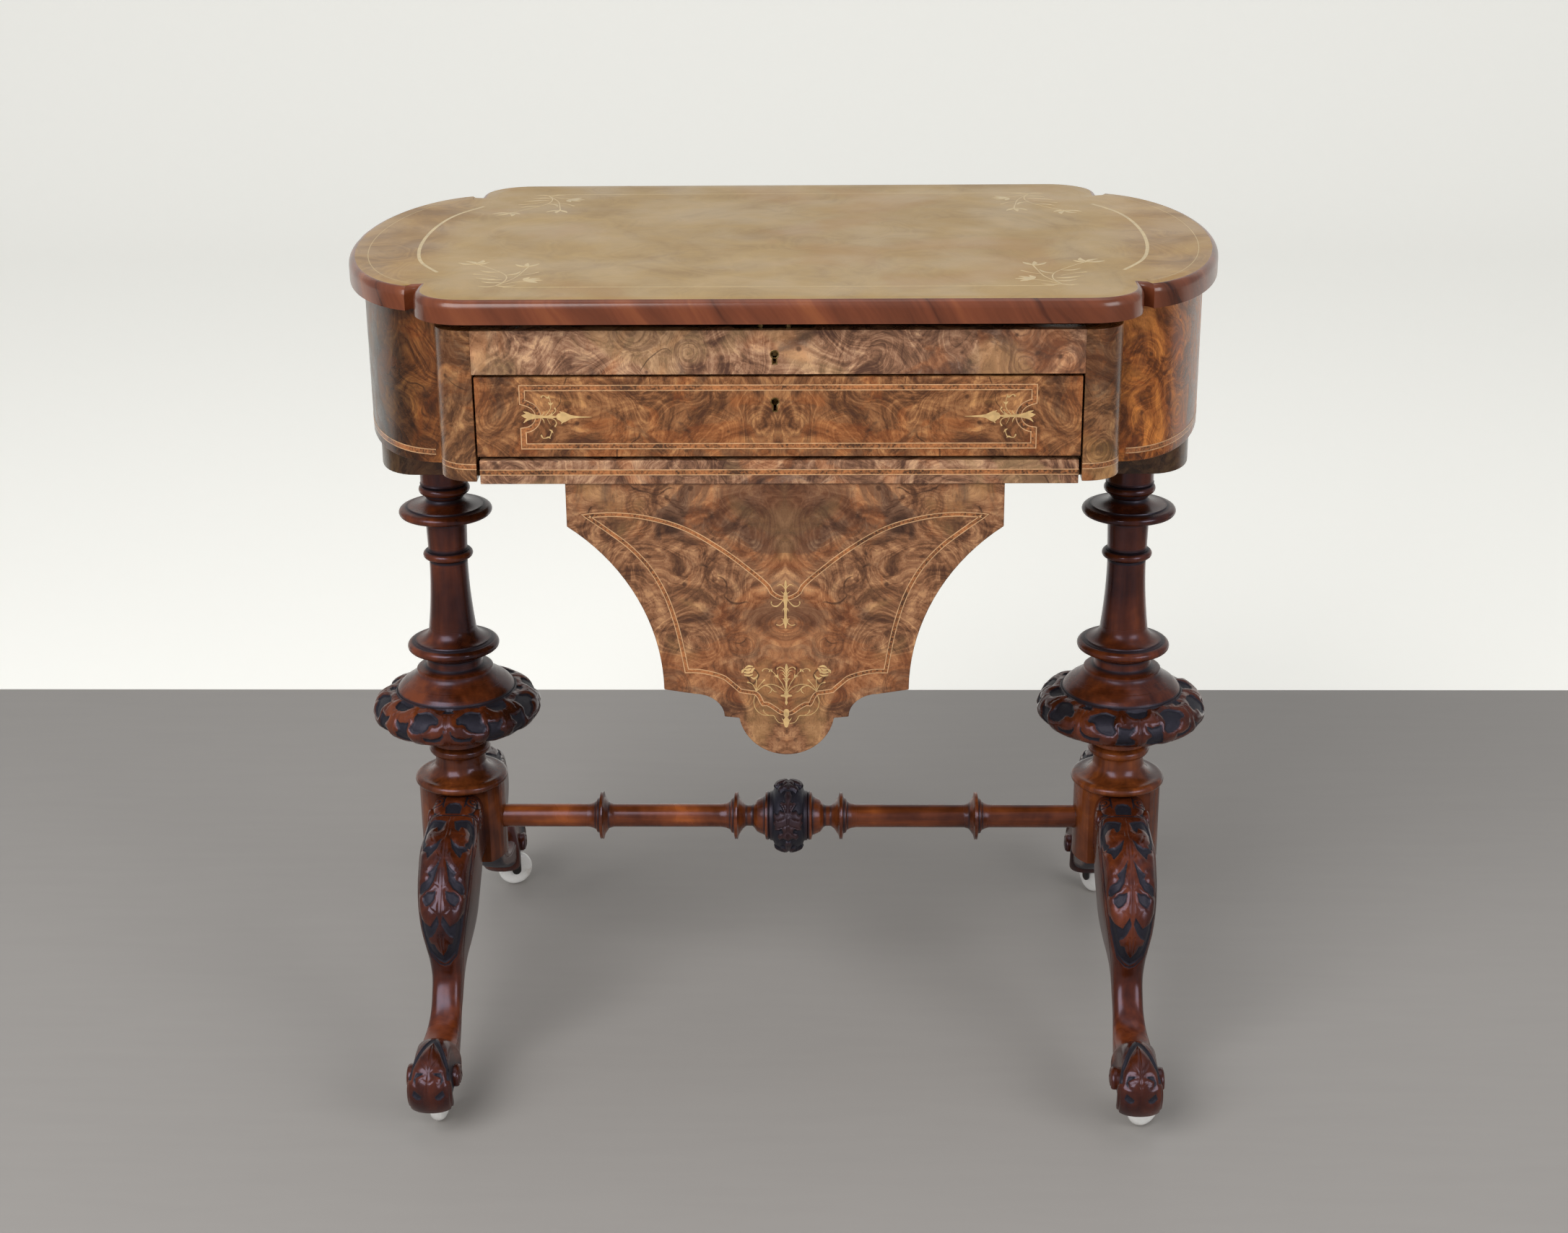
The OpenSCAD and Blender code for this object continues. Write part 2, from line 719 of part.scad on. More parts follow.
module drawer_bottom() {
    color(deal) box_at(-drawer_side_x + drawer_side_t, drawer_side_x - drawer_side_t,
        drawer_lock_back, drawer_back_y - drawer_side_t, drawer_bottom_z,
        drawer_bottom_z + drawer_bottom_t);
}

// The drawer's sides ride on these, and the work box's slide boards run under them.
runner_w = 12;
runner_h = 10;
front_play = 2;      // behind the drawer's front and the box's panel
slide_top = drawer_side_z - slide_gap - runner_h;

module drawer_runners() {
    color(deal) both_ends() box_at(bay_x - runner_w, bay_x, -case_y + front_t + front_play,
        post_back_y, slide_top, drawer_side_z - slide_gap);
}

// Work box

slide_z = slide_top - slide_gap - slide_t;
box_side_gap = 2.5;
box_x = bay_x - box_side_gap;
box_front_y = -case_y + panel_t + front_play;
box_back_y = inner_y - box_behind;
panel_x = bay_x - panel_in;
shoulder_z = box_rail_z - shoulder_h;
hollow_z = shoulder_z - hollow_h;
// The hollow's circle meets the shoulder's lower corner and runs straight down at its end.
hollow_cx = panel_x + sqrt(hollow_r * hollow_r - hollow_h * hollow_h);
hollow_x = hollow_cx - hollow_r;
hollow_a = acos((hollow_cx - panel_x) / hollow_r);
hollow_n = 18;

// Points down the hollow, for a circle that is larger by the value grow.
function hollow_pts(grow, top_a) = [for (i = [0:hollow_n])
    let (a = 180 - top_a + top_a * i / hollow_n, r = hollow_r + grow)
        [hollow_cx + r * cos(a), hollow_z + r * sin(a)]];

// Steps at the foot of the panel, and the round drop under them.
step_x = hollow_x * 0.75;
step_z = hollow_z - drop_r * 0.1;
cusp_x = drop_r * 1.29;
cusp_z = step_z - drop_r * 0.51;
drop_top = cusp_z - drop_r * 0.03;
drop_z = cusp_z + drop_r * 0.14;
step_n = 8;
drop_n = 14;
drop_a = asin((drop_top - drop_z) / drop_r);

function panel_half(top) = concat([[panel_x, top]], hollow_pts(0, hollow_a),
    [for (i = [0:step_n]) let (a = 90 * i / step_n)
        [cusp_x + (step_x - cusp_x) * (1 - sin(a)), cusp_z + (step_z - cusp_z) * cos(a)]],
    [for (i = [0:drop_n]) let (a = drop_a + (-90 - drop_a) * i / drop_n)
        [drop_r * cos(a), drop_z + drop_r * sin(a)]]);

module panel(y1, top) {
    half = panel_half(top);
    color(walnut) translate([panel_off, y1, 0]) rotate([90, 0, 0]) linear_extrude(panel_t)
        polygon(concat(half, flip_x(backwards(open_end(half)))));
}

module box_front_panel() { panel(box_front_y, box_rail_z); }
module box_back_panel() { panel(box_back_y, slide_z); }

module box_rail() {
    color(walnut) box_at(-box_x, box_x, -case_y, box_front_y, box_rail_z, box_rail_top);
}

module box_side(side) {
    inner_a = acos((hollow_cx - panel_x + box_side_t) / (hollow_r + box_side_t));
    color(deal) translate([panel_off, 0, 0]) scale_x(side)
        translate([0, box_back_y - panel_t, 0]) rotate([90, 0, 0])
        linear_extrude(box_back_y - panel_t - box_front_y)
            polygon(concat([[panel_x, slide_z]], hollow_pts(0, hollow_a),
                backwards(hollow_pts(box_side_t, inner_a)), [[panel_x - box_side_t, slide_z]]));
}

module box_side_left() { box_side(-1); }
module box_side_right() { box_side(1); }

module box_bottom() {
    x = hollow_x - box_side_t;
    color(deal) box_at(panel_off - x, panel_off + x, box_front_y, box_back_y - panel_t,
        hollow_z, hollow_z + box_side_t);
}

// Boards along both sides of the box, which slide on the ledges.
module box_slides() {
    x = panel_x - box_side_t;
    color(deal) {
        box_at(-box_x, panel_off - x, box_front_y, box_back_y, slide_z, slide_z + slide_t);
        box_at(panel_off + x, box_x, box_front_y, box_back_y, slide_z, slide_z + slide_t);
    }
}

module box_ledges() {
    color(deal) both_ends() box_at(bay_x - ledge_w, bay_x, box_front_y + slide_gap, post_back_y,
        slide_z - slide_gap - ledge_t, slide_z - slide_gap);
}

// Bearers and columns

bearer_side_gap = 1.5;   // between the bearer and the opening for the box
bearer_x0 = bay_x + bearer_side_gap;
bearer_x1 = case_w - bearer_in;

module bearer(side) {
    c = [bearer_x1 - bearer_r, bearer_y - bearer_round];
    corner = [for (i = [0:arc_n]) let (a = 90 - 90 * i / arc_n)
        c + [bearer_r * cos(a), bearer_round * sin(a)]];
    color(walnut) scale_x(side) difference() {
        translate([0, 0, bearer_z]) linear_extrude(bearer_t)
            polygon(concat([[bearer_x0, bearer_y]], corner, flip_y(backwards(corner)),
                [[bearer_x0, -bearer_y]]));
        translate([column_x, 0, bearer_z - eps])
            cylinder(r = peg_r + glue_gap, h = peg_l + 1, $fn = 64);
    }
}

module bearer_left() { bearer(-1); }
module bearer_right() { bearer(1); }

peg_l = 20;
turn_n = 8;

// Points of a round bead: its outer radius, its middle height and half its height.
function bead(r, z, h, depth) = [for (i = [0:turn_n]) let (a = 90 - 180 * i / turn_n)
    [r - depth + depth * cos(a), z + h * sin(a)]];

// Points of a hollow from one point to the next, bending towards the axis.
function cove(a, b) = [for (i = [0:turn_n]) let (t = 90 * i / turn_n)
    [a[0] + (b[0] - a[0]) * (1 - cos(t)), a[1] + (b[1] - a[1]) * sin(t)]];

module turned(x, pts) {
    translate([x, 0, 0]) rotate_extrude($fn = 96) polygon(pts);
}

// Radii of the column over its shaft: its round top, the bead on it and the neck below.
column_top_r = 20;
column_bead_r = 22;
column_neck_r = 15.5;
column_foot_r = 31.5;
shaft_foot_r = 20.4;
ring_out = 5;        // by which the ring on the shaft stands out
lip_in = 6;          // by which the flat of a disc stops short of its edge

// Height of a point that lies the share k of the column's height under its top.
function down(k) = bearer_z - k * column_h;

// Outline of the upper column, from its top down.
function column_pts() = let (r = shaft_r, h = column_h / 60) concat(
    [[0, bearer_z + peg_l], [peg_r, bearer_z + peg_l], [peg_r, bearer_z]],
    [[column_top_r, bearer_z], [column_top_r, down(0.176)]],
    bead(column_bead_r, down(0.201), h, h),
    [[column_neck_r * 1.16, down(0.219)]],
    cove([column_neck_r, down(0.237)], [disc_r - lip_in, down(0.272)]),
    bead(disc_r, down(0.291), h, h),
    [[disc_r - lip_in, down(0.309)], [r * 1.2, down(0.313)], [r * 1.06, down(0.329)]],
    [[r * 1.03, down(0.45)]],
    bead(r + ring_out, down(0.47), h, h),
    [[r, down(0.491)]],
    [for (i = [0:turn_n]) let (k = i / turn_n)
        [r + (shaft_foot_r - r) * k * k, down(0.491 + 0.281 * k)]],
    cove([shaft_foot_r, down(0.772)], [disc_r - lip_in, down(0.833)]),
    bead(disc_r, down(0.854), h, h),
    [[disc_r * 0.8, down(0.873)], [disc_r * 0.7, down(0.886)]],
    [[disc_r * 0.58, down(0.909)], [disc_r * 0.58, down(0.945)]],
    [[column_foot_r, down(0.963)], [column_foot_r, column_z], [peg_r, column_z]],
    [[peg_r, column_z - peg_l], [0, column_z - peg_l]]);

module column(side) {
    color(mahogany) turned(side * column_x, column_pts());
}

module column_left() { column(-1); }
module column_right() { column(1); }

// The collar: a dome over a deep round band, with a bore for the pegs.
module collar(side) {
    h = collar_h;
    r = collar_r;
    top = collar_z + h;
    color(ebonised) turned(side * column_x, concat(
        [[peg_r + glue_gap, top], [column_foot_r, top]],
        [for (i = [0:turn_n]) let (a = 90 * i / turn_n)
            [column_foot_r + r * 0.27 * sin(a), top - h * (0.075 + 0.13 * (1 - cos(a)))]],
        bead(r, collar_z + h * 0.46, h * 0.33, r * 0.32),
        cove([r * 0.62, collar_z + h * 0.11], [r * 0.39, collar_z + h * 0.04]),
        [[r * 0.38, collar_z], [peg_r + glue_gap, collar_z]]));
}

module collar_left() { collar(-1); }
module collar_right() { collar(1); }

// Radii of the turned neck: the round cap on the block, the waist and the bead under the top.
cap_r = 41;
neck_waist_r = 22;
neck_bead_r = 27;
neck_top_r = 25;

// Height of a point that lies the share k of the neck's height over the block.
function up(k) = block_top + k * neck_h;

module block(side) {
    x = side * column_x;
    b = neck_h * 0.1;
    color(mahogany) difference() {
        union() {
            turned(x, concat([[0, collar_z + peg_l], [peg_r, collar_z + peg_l]],
                [[peg_r, collar_z], [neck_top_r, collar_z], [neck_top_r, up(0.867)]],
                bead(neck_bead_r, up(0.722), b, b),
                [[neck_waist_r, up(0.578)]],
                cove([neck_waist_r, up(0.511)], [cap_r - lip_in, up(0.178)]),
                bead(cap_r, up(0.09), b * 0.9, b),
                [[0, block_top]]));
            intersection() {
                translate([x, 0, block_z]) cylinder(r = block_r, h = block_h, $fn = 96);
                box_at(x - 2 * block_r, x + 2 * block_r, -flat_y, flat_y, block_z, block_top);
            }
        }
        translate([x - side * (block_r + eps), 0, stretcher_z]) rotate([0, side * 90, 0])
            cylinder(r = stretcher_r + glue_gap, h = stretcher_seat + 1, $fn = 64);
    }
}

module block_left() { block(-1); }
module block_right() { block(1); }

// Stretcher

stretcher_end = column_x - block_r + stretcher_seat;
boss_x = 17;         // half the width of the boss
boss_drop = 11.5;    // by which the boss falls off towards its sides
inner_ring_x = 47;   // distance of the inner rings from the middle
valley_r = 9.4;      // radius between the inner ring and the boss

// One ring of the stretcher, from its inner to its outer side, at the distance x. Its
// places along the stretcher are shares of its radius, as its radii are.
function ring(x) = let (r = stretcher_ring_r) [[x - r * 0.27, r * 0.52],
    [x - r * 0.1, r * 0.77], [x - r * 0.045, r], [x + r * 0.045, r], [x + r * 0.11, r * 0.71],
    [x + r * 0.2, r * 0.67], [x + r * 0.245, r * 0.56], [x + r * 0.4, r * 0.49]];

// Half of the stretcher's outline: distance from the middle and radius.
function stretcher_half() = let (b = boss_x, r = stretcher_ring_r) concat(
    [for (i = [0:turn_n]) let (a = 90 * i / turn_n)
        [b * sin(a), boss_r - boss_drop * (1 - cos(a))]],
    [[b, r * 0.92], [b * 1.08, r], [b * 1.2, r * 0.96], [b * 1.26, r * 0.78]],
    [[b * 1.5, r * 0.71], [b * 1.68, r * 0.64], [b * 1.85, r * 0.45]],
    [[b * 1.94, valley_r], [inner_ring_x - r * 0.4, valley_r]],
    ring(inner_ring_x),
    [[inner_ring_x + r * 0.6, stretcher_r], [stretcher_ring_x - r * 0.45, stretcher_r]],
    ring(stretcher_ring_x),
    [[stretcher_ring_x + r * 0.55, stretcher_r], [stretcher_end, stretcher_r],
        [stretcher_end, 0]]);

module stretcher() {
    half = stretcher_half();
    color(mahogany) translate([0, 0, stretcher_z]) rotate([0, 90, 0]) rotate_extrude($fn = 64)
        polygon(concat([for (p = backwards(half)) [p[1], -p[0]]],
            [for (i = [1:len(half) - 1]) [half[i][1], half[i][0]]]));
}

// Legs

leg_rise = block_top - scroll_z;
leg_reach = foot_y - flat_y;
// Stations down the leg: share of the reach and of the rise on its outer side, the same on
// its inner side, and how far its half width goes from knee to ankle.
stations = [
    [0, 0.983, 0, 0.607, 0], [0.085, 0.988, 0.055, 0.613, 0], [0.176, 0.965, 0.106, 0.618, 0],
    [0.291, 0.936, 0.146, 0.607, 0], [0.392, 0.919, 0.186, 0.561, 0],
    [0.508, 0.844, 0.231, 0.480, 0.08], [0.598, 0.728, 0.286, 0.399, 0.2],
    [0.643, 0.613, 0.337, 0.335, 0.4], [0.633, 0.497, 0.382, 0.283, 0.65],
    [0.603, 0.399, 0.422, 0.237, 0.85], [0.588, 0.301, 0.462, 0.191, 0.97],
    [0.618, 0.220, 0.513, 0.139, 1], [0.668, 0.150, 0.573, 0.090, 1],
    [0.729, 0.104, 0.643, 0.046, 0.9], [0.809, 0.092, 0.729, 0, 0.75],
    [0.900, 0.104, 0.820, -0.058, 0.6]];

function smooth(p0, p1, p2, p3, t) = 0.5 * (2 * p1 + (p2 - p0) * t
    + (2 * p0 - 5 * p1 + 4 * p2 - p3) * t * t + (3 * p1 - p0 - 3 * p2 + p3) * t * t * t);

between = 2;
last_station = len(stations) - 1;
function station(k) = stations[min(max(k, 0), last_station)];
leg_steps = [for (k = [0:last_station - 1]) for (j = [0:between - 1])
    smooth(station(k - 1), station(k), station(k + 1), station(k + 2), j / between)];
leg_rows = concat(leg_steps, [stations[last_station]]);

ring_n = 16;
squareness = 0.72;
function bent(v) = sign(v) * pow(abs(v), squareness);

// One ring of points round the leg, across the line from its outer to its inner side.
function leg_ring(s) = let (
    o = [flat_y + s[0] * leg_reach, scroll_z + s[1] * leg_rise],
    i = [flat_y + s[2] * leg_reach, scroll_z + s[3] * leg_rise],
    w = knee_x + (ankle_x - knee_x) * s[4],
    m = (o + i) / 2, d = (o - i) / 2)
    [for (k = [0:ring_n - 1]) let (a = 360 * k / ring_n, u = bent(cos(a)), v = bent(sin(a)))
        [w * v, m[0] + d[0] * u, m[1] + d[1] * u]];

module leg_body() {
    rings = [for (s = leg_rows) leg_ring(s)];
    m = len(rings);
    faces = concat(
        [for (j = [0:m - 2]) for (i = [0:ring_n - 1]) for (h = [0, 1]) let (
            a = j * ring_n + i, b = j * ring_n + (i + 1) % ring_n,
            c = (j + 1) * ring_n + (i + 1) % ring_n, d = (j + 1) * ring_n + i)
            h == 0 ? [a, c, b] : [a, d, c]],
        [for (i = [1:ring_n - 2]) [0, i, i + 1]],
        [for (i = [1:ring_n - 2]) let (z = (m - 1) * ring_n) [z, z + i + 1, z + i]]);
    polyhedron([for (r = rings) for (p = r) p], faces);
}

pocket_clear = 0.8;
pocket_r = sqrt(pow(trail + wheel_d / 2, 2) + pow(wheel_w / 2, 2)) + pocket_clear;
crown_gap = 1.5;
crown_r = 11;
crown_t = 4.2;
plate_t = 2;
pocket_z = wheel_d + crown_gap + crown_t + slide_gap + plate_t;
roll_r = 10.5;
roll_x = knee_x + 1;

// Outline of the foot scroll, which is round in the middle and falls off to its sides.
function scroll_pts() = concat([[0, -scroll_x]],
    [for (i = [-turn_n:turn_n]) let (a = 90 * i / turn_n)
        [scroll_r - scroll_round * (1 - cos(a)), scroll_x * sin(a)]],
    [[0, scroll_x]]);

// A leg that reaches to the back, with the pocket for its castor.
module leg(side_x, side_y) {
    color(mahogany) translate([side_x * column_x, 0, 0]) mirror([0, side_y < 0 ? 1 : 0, 0])
        difference() {
            union() {
                leg_body();
                translate([0, foot_y, scroll_z]) scale([1, scroll_l / scroll_r, 1])
                    rotate([0, 90, 0]) rotate_extrude($fn = 64) polygon(scroll_pts());
                translate([-scroll_x - eye_h, foot_y, scroll_z]) rotate([0, 90, 0])
                    cylinder(r = eye_r, h = 2 * (scroll_x + eye_h), $fn = 48);
                translate([-roll_x, flat_y + roll_r * 2, block_top - roll_r]) rotate([0, 90, 0])
                    cylinder(r = roll_r, h = 2 * roll_x, $fn = 48);
            }
            translate([0, castor_y, -1]) cylinder(r = pocket_r, h = pocket_z + 1, $fn = 64);
        }
}

module leg_front_left() { leg(-1, -1); }
module leg_front_right() { leg(1, -1); }
module leg_back_left() { leg(-1, 1); }
module leg_back_right() { leg(1, 1); }

// Castors

castor_plate_r = 15;

module castor_plates() {
    color(iron) for (sx = [-1, 1]) for (sy = [-1, 1])
        translate([sx * column_x, sy * castor_y, 0]) {
            translate([0, 0, pocket_z - plate_t])
                cylinder(r = castor_plate_r, h = plate_t, $fn = 48);
            translate([0, 0, wheel_d + crown_gap])
                cylinder(r = pintle_r, h = pocket_z - wheel_d - crown_gap - plate_t + eps, $fn = 48);
        }
}

ear_gap = 0.8;
ear_t = 2;
ear_w = 9;
ear_in = wheel_w / 2 + ear_gap;

// Fork with its riveted axle. It trails towards +X and is turned by the angle turn.
module fork(sx, sy, turn) {
    crown_z = wheel_d + crown_gap;
    color(iron) translate([sx * column_x, sy * castor_y, 0]) rotate([0, 0, turn]) {
        difference() {
            union() {
                translate([0, 0, crown_z]) cylinder(r = crown_r, h = crown_t, $fn = 48);
                for (s = [-1, 1]) translate([0, s * (ear_in + ear_t / 2), 0]) {
                    box_at(trail - ear_w / 2, trail + ear_w / 2, -ear_t / 2, ear_t / 2,
                        wheel_d / 2, crown_z);
                    translate([trail, ear_t / 2, wheel_d / 2]) rotate([90, 0, 0])
                        cylinder(r = ear_w / 2, h = ear_t, $fn = 32);
                    box_at(0, trail + ear_w / 2, -ear_t / 2, ear_t / 2, crown_z, crown_z + crown_t);
                }
            }
            translate([0, 0, crown_z - eps])
                cylinder(r = pintle_r + run_gap, h = crown_t + 2 * eps, $fn = 48);
        }
        translate([trail, ear_in + ear_t, wheel_d / 2]) rotate([90, 0, 0])
            cylinder(r = axle_r, h = 2 * (ear_in + ear_t), $fn = 32);
    }
}

module castor_fork_front_left() { fork(-1, -1, turn_fl); }
module castor_fork_front_right() { fork(1, -1, turn_fr); }
module castor_fork_back_left() { fork(-1, 1, turn_bl); }
module castor_fork_back_right() { fork(1, 1, turn_br); }

module wheel(sx, sy, turn) {
    r = wheel_d / 2;
    w = wheel_w / 2;
    e = wheel_d * 0.11;
    bore = axle_r + run_gap;
    color(ceramic) translate([sx * column_x, sy * castor_y, 0]) rotate([0, 0, turn])
        translate([trail, 0, r]) rotate([90, 0, 0]) rotate_extrude($fn = 64)
            polygon(concat([[bore, -w], [r - 1.5 * e, -w]],
                [for (i = [-4:4]) let (a = 90 * i / 4) [r - e + e * cos(a), w * 0.93 * sin(a)]],
                [[r - 1.5 * e, w], [bore, w]]));
}

module castor_wheel_front_left() { wheel(-1, -1, turn_fl); }
module castor_wheel_front_right() { wheel(1, -1, turn_fr); }
module castor_wheel_back_left() { wheel(-1, 1, turn_bl); }
module castor_wheel_back_right() { wheel(1, 1, turn_br); }

top_board();
top_edge_band();
top_hinge_leaves();
top_hinge_screws();
lock_prongs();
end_shell_left();
end_shell_right();
end_floors();
post_front_left();
post_front_right();
back_posts();
lock_rail();
back_board();
side_boards();
tray_floor();
tray_dividers();
drawer_runners();
box_ledges();
case_hinge_leaves();
case_hinge_screws();
top_lock_case();
top_lock_bolt();
top_keyhole_lining();
drawer_front();
drawer_sides();
drawer_back();
drawer_bottom();
drawer_lock_case();
drawer_lock_bolt();
drawer_keyhole_lining();
box_rail();
box_slides();
box_front_panel();
box_back_panel();
box_side_left();
box_side_right();
box_bottom();
bearer_left();
bearer_right();
column_left();
column_right();
collar_left();
collar_right();
block_left();
block_right();
stretcher();
leg_front_left();
leg_front_right();
leg_back_left();
leg_back_right();
castor_plates();
castor_fork_front_left();
castor_fork_front_right();
castor_fork_back_left();
castor_fork_back_right();
castor_wheel_front_left();
castor_wheel_front_right();
castor_wheel_back_left();
castor_wheel_back_right();
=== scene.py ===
"""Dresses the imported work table: veneers, inlay, turned and carved wood, brass and castors."""

import json
import math

import bmesh
import bpy
import numpy as np
from mathutils import Matrix, Vector

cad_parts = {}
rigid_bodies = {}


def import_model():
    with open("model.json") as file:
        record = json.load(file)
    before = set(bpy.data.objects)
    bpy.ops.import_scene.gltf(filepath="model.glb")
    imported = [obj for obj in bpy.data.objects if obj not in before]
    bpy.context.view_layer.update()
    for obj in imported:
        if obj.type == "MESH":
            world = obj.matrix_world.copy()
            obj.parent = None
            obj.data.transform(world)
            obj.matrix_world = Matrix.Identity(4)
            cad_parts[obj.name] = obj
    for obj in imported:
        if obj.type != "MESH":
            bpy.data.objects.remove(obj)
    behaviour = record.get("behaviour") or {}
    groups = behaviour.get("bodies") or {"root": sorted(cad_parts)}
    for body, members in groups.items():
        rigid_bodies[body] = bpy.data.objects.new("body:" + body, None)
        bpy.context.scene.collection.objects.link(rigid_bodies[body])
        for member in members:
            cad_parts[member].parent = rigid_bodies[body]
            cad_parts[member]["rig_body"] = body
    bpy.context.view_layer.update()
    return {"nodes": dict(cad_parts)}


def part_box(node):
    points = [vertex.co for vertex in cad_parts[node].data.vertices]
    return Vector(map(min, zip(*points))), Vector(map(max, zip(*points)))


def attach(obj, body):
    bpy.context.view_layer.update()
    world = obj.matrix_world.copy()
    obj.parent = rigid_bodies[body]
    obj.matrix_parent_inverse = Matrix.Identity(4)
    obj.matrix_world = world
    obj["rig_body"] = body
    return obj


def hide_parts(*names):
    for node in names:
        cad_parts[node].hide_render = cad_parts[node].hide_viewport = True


bl_info = {
    "name": "Work table dressing",
    "version": (1, 0, 0),
    "blender": (4, 5, 0),
    "location": "3D View > Sidebar > Work table",
    "description": "Gives a packed work table its veneers, inlay, carving and castors",
    "category": "Object",
}

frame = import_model()
MM = 0.001


# Sizes and colours

class WorkTableColours(bpy.types.PropertyGroup):
    """Colours of the woods and metals, as they look under plain white light; the carved ground's
    colour is painted shade, grime and a bluish painted reflection.
    """

    def shade(name, description, value):
        return bpy.props.FloatVectorProperty(
            name=name, description=description, subtype="COLOR", size=3, min=0, max=1,
            default=value)

    burr_dark: shade("Burr, dark", "Dark clouds in the burr walnut", (0.085, 0.032, 0.014))
    burr_mid: shade("Burr, middle", "Main tone of the burr walnut", (0.255, 0.108, 0.042))
    burr_light: shade("Burr, light", "Light swirls in the burr walnut", (0.42, 0.205, 0.085))
    top_veneer: shade("Top veneer", "Sun-faded veneer of the top", (0.396, 0.246, 0.084))
    cross_band: shade("Cross-banding", "Red-brown banding on the edge", (0.165, 0.042, 0.016))
    mahogany: shade("Mahogany", "Columns, stretcher and legs", (0.058, 0.0122, 0.0042))
    # Painted shade: the dark of carved grounds and hollow corners, with some grime, tinted blue as
    # a painted reflection of the sky
    recess: shade("Carved ground", "Dark ground between carved leaves", (0.0095, 0.010, 0.0145))
    boxwood: shade("Boxwood", "Flowers and stems", (0.63, 0.41, 0.175))
    line_wood: shade("Line wood", "Thin lines beside the bands", (0.62, 0.36, 0.18))
    faded_inlay: shade("Faded inlay", "Flowers and lines of the top", (0.57, 0.405, 0.17))
    tulipwood: shade("Tulipwood", "Band between two lines", (0.30, 0.11, 0.035))
    deal: shade("Deal", "Inner boards and the back", (0.44, 0.27, 0.13))
    brass: shade("Brass", "Hinges, locks and keyholes", (0.5, 0.36, 0.165))
    iron: shade("Iron", "Castor forks and plates", (0.030, 0.027, 0.025))
    ceramic: shade("Ceramic", "Castor wheels", (0.93, 0.92, 0.89))
    wall: shade("Backdrop", "Pale backdrop behind the table", (0.87, 0.86, 0.81))
    floor: shade("Floor", "Grey floor under the table", (0.37, 0.348, 0.328))

    del shade


class WorkTableSizes(bpy.types.PropertyGroup):
    """Small sizes that the veneered and carved surfaces are made to."""

    edge_wear: bpy.props.FloatProperty(
        name="Edge rounding", description="How far the boards' edges are worn round",
        default=0.0006, min=0.0002, max=0.002, unit="LENGTH")
    line_width: bpy.props.FloatProperty(
        name="Line width", description="Width of the thin boxwood lines",
        default=0.00065, min=0.0004, max=0.002, unit="LENGTH")
    band_width: bpy.props.FloatProperty(
        name="Band width", description="Distance between the two lines of a band",
        default=0.004, min=0.003, max=0.006, unit="LENGTH")
    inlay_rise: bpy.props.FloatProperty(
        name="Inlay rise", description="How far the inlay stands proud of the veneer",
        default=0.00012, min=0.00005, max=0.0004, unit="LENGTH")
    carving_depth: bpy.props.FloatProperty(
        name="Carving depth", description="Depth of the ground between carved leaves",
        default=0.0022, min=0.0005, max=0.004, unit="LENGTH")
    lathe_steps: bpy.props.IntProperty(
        name="Steps round turnings", description="Number of faces round turned pieces",
        default=160, min=48, max=256)


def colours():
    return bpy.context.scene.work_table_colours


def sizes():
    return bpy.context.scene.work_table_sizes


# Finishes

class Wire:
    """A value in a finish's nodes. Adding to it or multiplying it adds a math node."""

    def __init__(self, owner, socket):
        self.owner = owner
        self.socket = socket

    def __add__(self, other):
        return self.owner.math("ADD", self, other)

    def __sub__(self, other):
        return self.owner.math("SUBTRACT", self, other)

    def __mul__(self, other):
        return self.owner.math("MULTIPLY", self, other)

    def __abs__(self):
        return self.owner.math("ABSOLUTE", self)


